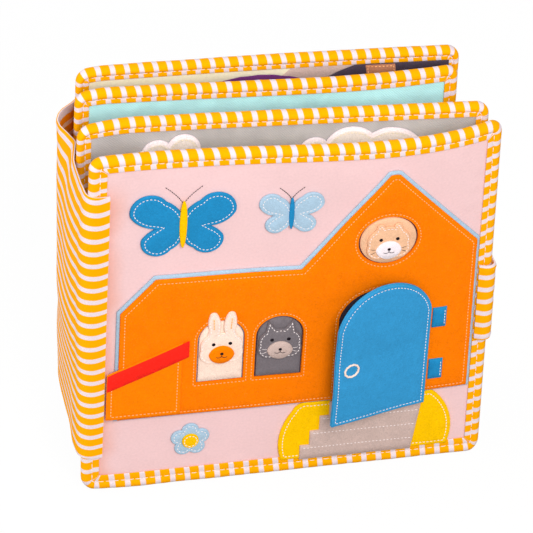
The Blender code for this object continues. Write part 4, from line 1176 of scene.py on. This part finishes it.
def make_strap():
    """The closing strap, in one cloth from its seam on the front cover round the fore-edge."""
    clear = SEAT + STRAP_HALF
    edge, face = FRONT.width + clear, TAPE_HALF + clear
    axis_y = TAPE_HALF + SEAT
    seam = FRONT.width - STRAP_LAP
    bend = [
        (edge - STRAP_BEND * (1 - math.cos(a)), -face + STRAP_BEND * (1 - math.sin(a)))
        for a in np.linspace(0, math.pi / 2, 9)
    ]
    base = [(seam, -face), (seam + 2 * MM, -face)] + bend[::-1] + [(edge, axis_y), (edge, axis_y + STRAP_LENGTH)]
    lengths = path_lengths(base)
    at = np.concatenate([
        np.arange(0, lengths[-2], 0.8 * MM), np.linspace(lengths[-2], lengths[-1] - 8 * MM, 30)[:-1],
        lengths[-1] - 8 * MM * (1 - np.sin(np.linspace(0, math.pi / 2, 12))),
    ])
    line = np.column_stack([np.interp(at, lengths, np.array(base)[:, k]) for k in range(2)])
    out = outward(line)
    middle, rows = (STRAP_HEAD + STRAP_FOOT) / 2, 25
    shares = np.linspace(-1, 1, rows)
    halves = np.array([strap_end_half(a - lengths[-2]) if a > lengths[-2] else 22.5 * MM for a in at])
    halves[-1] = max(halves[-1], 1 * MM)
    bulge = STRAP_BULGE * np.sin(np.pi * np.clip(at / lengths[-3], 0, 1)) ** 1.2

    def points(share, offset):
        rise = middle + share * halves
        spot = line + out * offset[:, None]
        share_across = np.clip(spot[:, 0] / FRONT.width, 0, 1)
        lift = sum(depth * np.sin(np.pi * share_across**power) for depth, power in FRONT.bows)
        lift = lift * (rise / LEAF_HEIGHT) ** LIFT_POWER
        spot = spot + out * bulge[:, None]
        spot[:, 1] -= np.where(spot[:, 1] < axis_y, lift, 0)
        return np.column_stack([np.array([FRONT.plan(x, y) for x, y in spot]), rise + STRAP_RAISE])

    outer, inner, cloth = [], [], []
    for share in shares:
        rise = middle + share * halves
        ripple = 0.12 * MM * waves(at, rise, 9 * MM, 71)
        groove = 0.22 * MM * math.exp(-(((1 - abs(share)) * 22.5 - 2.2) / 0.7) ** 2)
        edge_roll = 0.35 * MM * (abs(share) > 0.97) - groove
        outer.append(points(share, STRAP_HALF - edge_roll + ripple))
        inner.append(points(share, np.full(len(at), -STRAP_HALF + edge_roll * 0.3)))
        cloth.append(np.column_stack([rise - 1.1 * MM, at, np.zeros(len(at))]))
    obj = slab("strap_cloth", np.array(outer), np.array(inner), np.array(cloth), "stripe")
    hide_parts("strap_base", "strap_band")
    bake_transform(obj)

    def on_cover(flat):
        """Places (distance along the strap, height, depth) on the part that the cover carries."""
        spot = np.column_stack([np.interp(flat[:, 0], at, line[:, k]) for k in range(2)])
        away = np.column_stack([np.interp(flat[:, 0], at, out[:, k]) for k in range(2)])
        spot = spot + away * (flat[:, 2:] + np.interp(flat[:, 0], at, bulge)[:, None])
        return np.column_stack([np.array([FRONT.plan(x, y) for x, y in spot]), flat[:, 1] + STRAP_RAISE])

    stretches = [
        ("front_cover", 0.6 * MM, lengths[-2] - 1 * MM),
        ("strap", lengths[-2] + 3 * MM, lengths[-1] - 9 * MM),
    ]
    for height in (STRAP_HEAD - STRAP_STITCH_INSET, STRAP_FOOT + STRAP_STITCH_INSET):
        for body, low, high in stretches:
            sew_line(Threads.on(body, "white_thread"), on_cover, [(low, height), (high, height)], STRAP_HALF,
                     TAPE_STITCH_PERIOD, TAPE_STITCH_LENGTH)

    def inside_band(flat):
        """Places (distance from the axis, height, depth inwards) on the band's inner side."""
        spot = np.column_stack([np.full(len(flat), edge - STRAP_HALF) - flat[:, 2], axis_y + flat[:, 0]])
        return np.column_stack([np.array([FRONT.plan(x, y) for x, y in spot]), flat[:, 1]])

    low, high = STRAP_FOOT + 6 * MM, STRAP_HEAD - 6 * MM
    hooks = rounded_outline(STRAP_LENGTH - 26 * MM, low, STRAP_LENGTH - 6 * MM, high, 2 * MM)
    felt_piece("strap_hooks", "strap", inside_band, hooks, SEAT, 0.8 * MM, "hook_tape", "strap_hook_patch",
               below="strap_cloth", thread="white_thread", inset=1.6 * MM)
    right = BACK.width - TAPE_WIDTH - 6 * MM
    loops = rounded_outline(right - 20 * MM, low, right, high, 2 * MM)

    def behind(flat):
        return BACK.place(np.column_stack([flat[:, :2], -flat[:, 2]]))

    felt_piece("back_loops", "back", behind, loops, PANEL_HALF + SEAT, 0.8 * MM, "hook_tape", "back_loop_patch",
               below="back_cover_back_panel", thread="white_thread", inset=1.6 * MM)


def window_outlines(leaf, grow=0.0):
    made = []
    for shares in WINDOW_SHARES:
        left, bottom, right, top = field_box(leaf, shares, BACKING_MARGIN)
        made.append(arched_outline(left - grow, bottom - grow, right + grow, top + grow, 0.5))
    return made + [circle_outline(attic_middle(leaf), attic_radius(leaf) + grow)]


def attic_middle(leaf):
    return field_point(leaf, *ATTIC_WINDOW_SHARES, BACKING_MARGIN)


def attic_radius(leaf):
    left, _, right, _ = field_box(leaf, (0, 0, ATTIC_RADIUS_SHARE, 1), BACKING_MARGIN)
    return right - left


def front_felt(name, outline, low, thickness, finish, below="front_cover_front_panel", **more):
    return felt_piece(name + "_felt", "front_cover", FRONT.place, outline, low, thickness, finish, name,
                      below=below, **more)


def make_cottage():
    """The felt picture on the front cover, from its backing outwards."""
    wall = field_outline(FRONT, WALL_OUTLINE_SHARES, BACKING_MARGIN)
    left, bottom, hinge, top = field_box(FRONT, DOOR_SHARES, BACKING_MARGIN)
    wall_bottom = min(v for u, v in wall)
    doorway = arched_outline(
        left + 6 * MM, max(bottom, wall_bottom) + 6 * MM, hinge - 6 * MM, top - 8 * MM, DOOR_ARCH_SHARE
    )
    _, cat_lining, attic_lining = window_outlines(FRONT, LINING_MARGIN)
    front_felt("cottage_backing", shrink(wall, -BACKING_MARGIN), BACKING_LOW, FELT, "pale_blue_felt")
    backing = "cottage_backing_felt"
    front_felt("cat_window_lining", cat_lining, LINING_LOW, THIN_FELT, "charcoal_felt", backing)
    front_felt("attic_window_lining", attic_lining, LINING_LOW, THIN_FELT, "charcoal_felt", backing)
    doorway_lining = shrink(doorway, -LINING_MARGIN)
    front_felt("doorway_lining", doorway_lining, LINING_LOW, THIN_FELT, "charcoal_felt", backing)
    front_felt("cottage_wall", wall, WALL_LOW, FELT, "orange_felt", backing,
               holes=window_outlines(FRONT) + [doorway], thread="peach_thread", drop=WALL_DROP,
               hole_stitch=True)
    make_annex("cottage_wall_felt")
    make_porch(wall_bottom - BACKING_MARGIN - SEAT)


def make_annex(below):
    annex = field_outline(FRONT, ANNEX_OUTLINE_SHARES, BACKING_MARGIN)
    _, (left, eave), (right, top), _ = annex
    over, depth = 3.0 * MM, 9.5 * MM
    rise = (top - eave) * over / (right - left)
    band = [(left, eave - depth), (left, eave), (right + over, top + rise), (right + over, top + rise - depth)]
    front_felt("annex_wall", annex, TRIM_LOW, FELT, "light_orange_felt", below, thread="peach_thread",
               drop=TRIM_DROP)
    front_felt("annex_roof_band", band, UPPER_TRIM_LOW, 0.6 * MM, "red_felt", below, drop=TRIM_DROP)


def make_porch(top):
    """The yellow porch under the door, and its steps with a row of stitches at each tread."""
    left, bottom = field_point(FRONT, PORCH_SHARES[0], 0)
    right, _ = field_point(FRONT, PORCH_SHARES[1], 0)
    tread = PORCH_TREAD_SHARE * (right - left)
    porch = curved_outline(
        [
            (left, bottom, 0.12), (left + tread, top - tread, 0.2), (left + 3 * tread, top, 0.0),
            (right - 2 * tread, top, 0.15), (right, bottom, 0.0),
        ]
    )
    rise = (top - bottom) / STEP_COUNT
    flight = []
    for i in range(STEP_COUNT):
        step_left = left + (i + 2) * tread
        flight += [(step_left, bottom + rise * i), (step_left, bottom + rise * (i + 1))]
    flight += [(right - 3 * tread, top), (right - 4 * tread, bottom)]
    front_felt("porch", porch, BACKING_LOW, FELT, "yellow_felt", thread="white_thread")
    front_felt("porch_steps", flight, LINING_LOW, FELT, "taupe_felt", "porch_felt", drop=TRIM_DROP)
    threads = Threads.on("front_cover", "white_thread")
    for i in range(STEP_COUNT):
        low = left + (i + 2) * tread + 1.2 * MM
        high = right - (4 - (i + 1) / STEP_COUNT) * tread - 1.2 * MM
        lift = rise * (i + 1) - 1.3 * MM
        line = [(low, bottom + lift), (high, bottom + lift)]
        sew_line(threads, FRONT.place, line, LINING_LOW + FELT + 0.02 * MM)


def door_place():
    """Where points of the open door lie: u from its hinge line, v up from its foot, w out of its front."""
    left, bottom, hinge, top = field_box(FRONT, DOOR_SHARES, BACKING_MARGIN)
    axis_w = TRIM_LOW + DOOR_THICKNESS / 2
    foot, head = [Vector(p) for p in FRONT.in_pivot([(hinge, bottom, axis_w), (hinge, top, axis_w)], False)]
    lean = Vector((0, 0, 1)).rotation_difference(head - foot).to_matrix()
    turn = Matrix.Rotation(FRONT.turn, 3, "Z")
    spin = turn @ lean @ Matrix.Rotation(DOOR_AJAR, 3, "Z")
    start = turn @ foot + Vector((*FRONT.hinge, 0))
    width = hinge - left

    def place(points):
        u, v, w = np.asarray(points, float).T
        ripple = 0.35 * MM * waves(u, v, 46 * MM, 31) * np.clip(-u / (12 * MM), 0, 1)
        curl = 0.9 * MM * (u / width) ** 2 + ripple
        curl = curl + DOOR_CLEAR + DOOR_CLEAR_AT_HEAD * (v / (top - bottom)) ** 2
        local = np.column_stack([u, -(w + curl), v])
        return local @ np.array(spin).T + np.array(start)

    return place, (left - hinge, top - bottom), (hinge, bottom, top)


def make_door():
    """The two felts of the door, its thread ring and the tabs that hinge it."""
    place, (far, height), (hinge, bottom, top) = door_place()
    outline = arched_outline(far, 0, -HINGE_CLEAR, height, DOOR_ARCH_SHARE)
    layer = (DOOR_THICKNESS - SEAT) / 2
    felt_piece("door_back_felt", "door", place, outline, -DOOR_THICKNESS / 2, layer + SEAT / 2, "door_felt",
               "door_back", below="door_front_felt", slot="blue_felt")
    felt_piece("door_front_felt", "door", place, outline, SEAT / 2, layer, "door_felt", "door_front",
               below="door_back_felt", thread="white_thread", inset=DOOR_STITCH_INSET, slot="blue_felt")
    back_seam = shrink(dense(outline), DOOR_STITCH_INSET)
    centres, ways = run_along(back_seam + back_seam[:1], STITCH_PERIOD)
    sew(Threads.on("door", "white_thread"), place, centres, ways, -DOOR_THICKNESS / 2, radius=-THREAD_RADIUS)
    around, across, radius, cord = 56, 8, 3.7 * MM, 0.55 * MM
    middle = (far + 8.5 * MM, 0.42 * height, DOOR_THICKNESS / 2 + 0.75 * cord)
    points = []
    for i in range(around):
        a = math.tau * i / around
        twist = 0.10 * MM * math.sin(11 * a)
        for k in range(across):
            b = math.tau * k / across
            reach = radius + twist + cord * math.cos(b)
            points.append((middle[0] + reach * math.cos(a), middle[1] + 0.96 * reach * math.sin(a),
                           middle[2] + cord * math.sin(b)))
    faces = []
    for i in range(around):
        n = (i + 1) % around
        faces += [(i * across + k, i * across + (k + 1) % across, n * across + (k + 1) % across, n * across + k)
                  for k in range(across)]
    ring = add_mesh("door_ring_cord", place(points), faces, np.array(points), "cream_felt")
    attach(ring, "door")
    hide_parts("door_ring")
    near = hinge + HINGE_CLEAR
    for name, share in (("door_lower_tab", 0.16), ("door_upper_tab", 0.56)):
        low = bottom + share * (top - bottom)
        tab = box_outline(near - 1.0 * MM, low, near + 6 * MM, low + 12 * MM)
        front_felt(name, tab, TRIM_LOW, FELT, "blue_felt", None, drop=TRIM_DROP)
        seam = [(near + 5 * MM, low + 1.5 * MM), (near + 5 * MM, low + 10.5 * MM)]
        sew_line(Threads.on("front_cover", "white_thread"), FRONT.place, seam, TRIM_LOW + FELT - 0.05 * MM)


def face_point(middle, width, height, x, y):
    return (middle[0] + x * width / 2, middle[1] + y * height / 2)


def make_puppets():
    """Three finger puppets, each with its body in the window, its head, its muzzle and a sewn face."""
    bodies = window_outlines(FRONT, -PUPPET_CLEAR)
    spans = []
    for shares in WINDOW_SHARES:
        left, bottom, right, top = field_box(FRONT, shares, BACKING_MARGIN)
        spans.append(((left + right) / 2, bottom, top - bottom))
    attic, radius = attic_middle(FRONT), attic_radius(FRONT)
    spans.append((attic[0], attic[1] - radius, 2 * radius))
    left, _, right, _ = field_box(FRONT, WINDOW_SHARES[0], BACKING_MARGIN)
    width, height = [share * (right - left) for share in PUPPET_HEAD_SHARES]
    for (name, ears, finish, muzzle_finish, chin), body, (across, foot, span) in zip(PUPPETS, bodies, spans):
        middle = (across, foot + chin * span + height / 2)
        head = motif_outline(BROW_SHARES + ears + CHEEK_SHARES, width, height, middle)
        snout = (across, middle[1] - 0.45 * height / 2)
        muzzle = motif_outline(MUZZLE_OUTLINE_SHARES, 0.62 * width, 0.40 * height, snout)
        muzzle_low = TRIM_LOW + THICK_FELT + SEAT
        felt_piece(name + "_body_felt", name, FRONT.place, body, WALL_LOW, FELT, finish, name + "_body",
                   below="cottage_backing_felt")
        felt_piece(name + "_head_felt", name, FRONT.place, head, TRIM_LOW, THICK_FELT, finish,
                   name + "_head", below=name + "_body_felt", thread="white_thread", inset=1.0 * MM)
        felt_piece(name + "_muzzle_felt", name, FRONT.place, muzzle, muzzle_low - 0.2 * MM, 0.8 * MM,
                   muzzle_finish, name + "_muzzle")
        puppet_face(name, middle, width, height, snout, TRIM_LOW + THICK_FELT + PUFF, muzzle_low + 0.75 * MM)


def puppet_face(name, middle, width, height, snout, face_w, snout_w):
    """Bead eyes, a small nose, a sewn smile, and whiskers or rosy ears."""
    dark = Threads.on(name, "dark_thread")
    beads = Threads.on(name, "bead")
    for side in (-1, 1):
        bead(beads, FRONT.place, face_point(middle, width, height, 0.40 * side, 0.22), face_w, 0.95 * MM)
        smile = [(snout[0], snout[1] - 0.2 * MM)]
        smile += [
            (snout[0] + side * (1.5 * MM - 1.5 * MM * math.cos(a)), snout[1] - 0.2 * MM - 1.2 * MM * math.sin(a))
            for a in np.linspace(0.3, 2.4, 6)
        ]
        sew_line(dark, FRONT.place, smile, snout_w, 0.6 * MM, 0.8 * MM, 0.15 * MM)
    bead(beads, FRONT.place, (snout[0], snout[1] + 0.9 * MM), snout_w, 0.85 * MM, 0.5)
    if name in ("cat", "mouse"):
        thread = Threads.on(name, "white_thread" if name == "cat" else "dark_thread")
        for side in (-1, 1):
            for lift in (-0.12, 0.02):
                a = face_point(middle, width, height, 0.60 * side, -0.42 + lift)
                b = face_point(middle, width, height, 0.88 * side, -0.40 + 2.2 * lift)
                sew_line(thread, FRONT.place, [a, b], face_w, 3 * MM, 2.6 * MM, 0.12 * MM)
    if name == "rabbit":
        for side in (-1, 1):
            low = face_point(middle, width, height, 0.40 * side, 1.15)
            high = face_point(middle, width, height, 0.44 * side, 1.85)
            sew_line(Threads.on(name, "peach_thread"), FRONT.place, [low, high], face_w - 0.1 * MM,
                     1.5 * MM, 1.7 * MM, 0.3 * MM)


def make_front_motifs():
    """The butterflies above the cottage and the flower beside its porch."""
    motifs = [
        ("big_butterfly", (0.300, 0.204, 0.193, 0.826), "blue_felt", "white_thread"),
        ("small_butterfly", (0.185, 0.138, 0.478, 0.842), "pale_blue_felt", "white_thread"),
    ]
    for name, shares, finish, thread in motifs:
        outline = field_motif(FRONT, BUTTERFLY_OUTLINE_SHARES, *shares)
        front_felt(name, outline, BACKING_LOW, THICK_FELT, finish, thread=thread, inset=1.8 * MM)
        middle = field_point(FRONT, *shares[2:])
        tall = shares[1] * LEAF_HEIGHT
        trunk = ellipse_outline(middle, 0.045 * tall, 0.34 * tall)
        felt_piece(name + "_trunk", "front_cover", FRONT.place, trunk, LINING_LOW, 0.8 * MM,
                   "yellow_felt" if name == "big_butterfly" else "blue_felt", None)
        for side in (-1, 1):
            feeler = [
                (middle[0] + side * 0.22 * tall * t**1.5, middle[1] + (0.25 + 0.27 * t) * tall)
                for t in np.linspace(0, 1, 6)
            ]
            sew_line(Threads.on("front_cover", "dark_thread"), FRONT.place, feeler, PANEL_HALF + 0.15 * MM,
                     1.3 * MM, 1.1 * MM)
    turns = [math.pi / 2 - math.tau * (i + 0.5) / 5 for i in range(5)]
    petals = field_motif(FRONT, [(0.6 * math.cos(a), 0.6 * math.sin(a), 0.46) for a in turns],
                         0.134, 0.133, 0.237, 0.104)
    left, _, right, _ = field_box(FRONT, (0, 0, 0.134, 1))
    heart = circle_outline(field_point(FRONT, 0.237, 0.104), 0.17 * (right - left))
    front_felt("flower_petals", petals, BACKING_LOW, FELT, "pale_blue_felt", thread="white_thread",
               inset=1.5 * MM)
    front_felt("flower_heart", heart, LINING_LOW, FELT, "yellow_felt", None, thread="white_thread",
               inset=1.0 * MM)


def on_field(points):
    """An outline from (u, v, bulge) points in millimetres on a leaf."""
    return curved_outline([(u * MM, v * MM, bulge) for u, v, bulge in points])


def make_inner_motifs():
    """The white bushes on the second leaf and the hills inside the back cover."""
    for name, points in (("left_bush", LEFT_BUSH_MM), ("right_bush", RIGHT_BUSH_MM)):
        outline = on_field(points)
        felt_piece(name + "_felt", "second_leaf", SECOND.place, outline, BACKING_LOW, THICK_FELT, "white_felt",
                   name, below="second_leaf_front_panel")
        inset = shrink(dense(outline, 1.1 * MM), 1.5 * MM)
        felt_piece(name + "_inset", "second_leaf", SECOND.place, inset, BACKING_LOW + THICK_FELT, 0.6 * MM,
                   "ivory_felt", None, below=name + "_felt", thread="cream_thread", inset=0.9 * MM,
                   slot="white_felt")
    hills = [
        ("sand_hill", SAND_HILL_MM, "taupe_felt"),
        ("purple_hill", PURPLE_HILL_MM, "purple_felt"),
        ("charcoal_hill", CHARCOAL_HILL_MM, "charcoal_felt"),
    ]
    for layer, (name, points, finish) in enumerate(hills):
        low = BACKING_LOW + layer * (THIN_FELT + SEAT)
        felt_piece(name + "_felt", "back", BACK.place, on_field(points), low, THIN_FELT, finish, name,
                   below="back_cover_front_panel")
    felt_piece("brown_patch", "back", BACK.place, on_field(BROWN_PATCH_MM),
               BACKING_LOW + 3 * (THIN_FELT + SEAT), THIN_FELT, "brown_felt", None, below="charcoal_hill_felt",
               thread="peach_thread", inset=0.9 * MM, slot="taupe_felt")


def make_camera():
    """The eye of the photograph: the pixel of the cover's middle and the scale there set its aim and lens."""
    sin_a, cos_a = math.sin(EYE_AZIMUTH), math.cos(EYE_AZIMUTH)
    back = Vector((sin_a * math.cos(EYE_ELEVATION), -cos_a * math.cos(EYE_ELEVATION), math.sin(EYE_ELEVATION)))
    ahead = -back
    level = ahead.cross(Vector((0, 0, 1))).normalized()
    upright = level.cross(ahead)
    right = level * math.cos(EYE_ROLL) + upright * math.sin(EYE_ROLL)
    up = upright * math.cos(EYE_ROLL) - level * math.sin(EYE_ROLL)
    focal = EYE_DISTANCE * PIXELS_PER_METRE
    off_x = IMAGE_SIDE / 2 - COVER_MIDDLE_PIXEL[0]
    off_y = COVER_MIDDLE_PIXEL[1] - IMAGE_SIDE / 2
    aim = (ahead * focal + right * off_x + up * off_y).normalized()
    side = aim.cross(up).normalized()
    turn = Matrix((side, side.cross(aim), -aim)).transposed()
    data = bpy.data.cameras.new("eye")
    data.sensor_width = SENSOR_MM
    data.lens = focal / IMAGE_SIDE * SENSOR_MM
    data.clip_end = 100.0
    camera = bpy.data.objects.new("eye", data)
    camera.location = Vector((*FRONT.hinge, 0)) + COVER_MIDDLE_FROM_HINGE + back * EYE_DISTANCE
    camera.rotation_mode = "QUATERNION"
    camera.rotation_quaternion = turn.to_quaternion()
    bpy.context.scene.collection.objects.link(camera)
    bpy.context.scene.camera = camera


def area_lamp(name, place, target, size, power):
    data = bpy.data.lights.new(name, "AREA")
    data.shape, data.size, data.energy = "DISK", size, power
    lamp = bpy.data.objects.new(name, data)
    lamp.location = place
    lamp.rotation_mode = "QUATERNION"
    lamp.rotation_quaternion = (Vector(target) - Vector(place)).to_track_quat("-Z", "Y")
    bpy.context.scene.collection.objects.link(lamp)


def make_stage():
    """A white floor that keeps the shadow, a white surround and soft lamps."""
    bpy.ops.mesh.primitive_circle_add(vertices=64, radius=6.0, fill_type="NGON", location=(0, 0, -0.0002))
    floor = bpy.context.object
    floor.name = "floor"
    material = bpy.data.materials.new("floor_white")
    material.use_nodes = True
    nodes, links = material.node_tree.nodes, material.node_tree.links
    shader = nodes["Principled BSDF"]
    shader.inputs["Base Color"].default_value = (0.32, 0.32, 0.32, 1)
    shader.inputs["Roughness"].default_value = 0.9
    glow, mix, path = [nodes.new(k) for k in ("ShaderNodeEmission", "ShaderNodeMixShader", "ShaderNodeLightPath")]
    share = nodes.new("ShaderNodeMath")
    share.operation = "MULTIPLY"
    share.inputs[1].default_value = 0.90
    glow.inputs["Strength"].default_value = 1.07
    links.new(path.outputs["Is Camera Ray"], share.inputs[0])
    links.new(share.outputs[0], mix.inputs[0])
    links.new(shader.outputs[0], mix.inputs[1])
    links.new(glow.outputs[0], mix.inputs[2])
    links.new(mix.outputs[0], nodes["Material Output"].inputs["Surface"])
    floor.data.materials.append(material)

    world = bpy.data.worlds.new("surround")
    world.use_nodes = True
    bpy.context.scene.world = world
    nodes, links = world.node_tree.nodes, world.node_tree.links
    soft = nodes["Background"]
    soft.inputs["Color"].default_value = (1.0, 0.985, 0.98, 1)
    soft.inputs["Strength"].default_value = 0.62
    white, mix, path = [nodes.new(k) for k in ("ShaderNodeBackground", "ShaderNodeMixShader", "ShaderNodeLightPath")]
    either = nodes.new("ShaderNodeMath")
    either.operation = "MAXIMUM"
    links.new(path.outputs["Is Camera Ray"], either.inputs[0])
    links.new(path.outputs["Is Glossy Ray"], either.inputs[1])
    links.new(either.outputs[0], mix.inputs[0])
    links.new(soft.outputs[0], mix.inputs[1])
    links.new(white.outputs[0], mix.inputs[2])
    links.new(mix.outputs[0], nodes["World Output"].inputs["Surface"])
    area_lamp("key", (0.0, -1.6, 1.38), (0, 0, 0.1), 1.0, 31.0)
    area_lamp("side", (-1.5, 0.2, 0.7), (0, 0, 0.1), 0.9, 12.0)
    bpy.context.scene.view_settings.view_transform = "Standard"


make_camera()
make_stage()
leaf_panels(FRONT, "pink_cotton", "sand_cotton", True)
leaf_panels(SECOND, "grey_cotton", "pink_cotton", False)
leaf_panels(THIRD, "mint_cotton", "grey_cotton", False)
leaf_panels(BACK, "sand_cotton", "mint_cotton", True)
for leaf in LEAVES:
    leaf_tape(leaf)
make_spine()
make_strap()
make_cottage()
make_door()
make_puppets()
make_front_motifs()
make_inner_motifs()
for threads in Threads.gathered.values():
    threads.build()
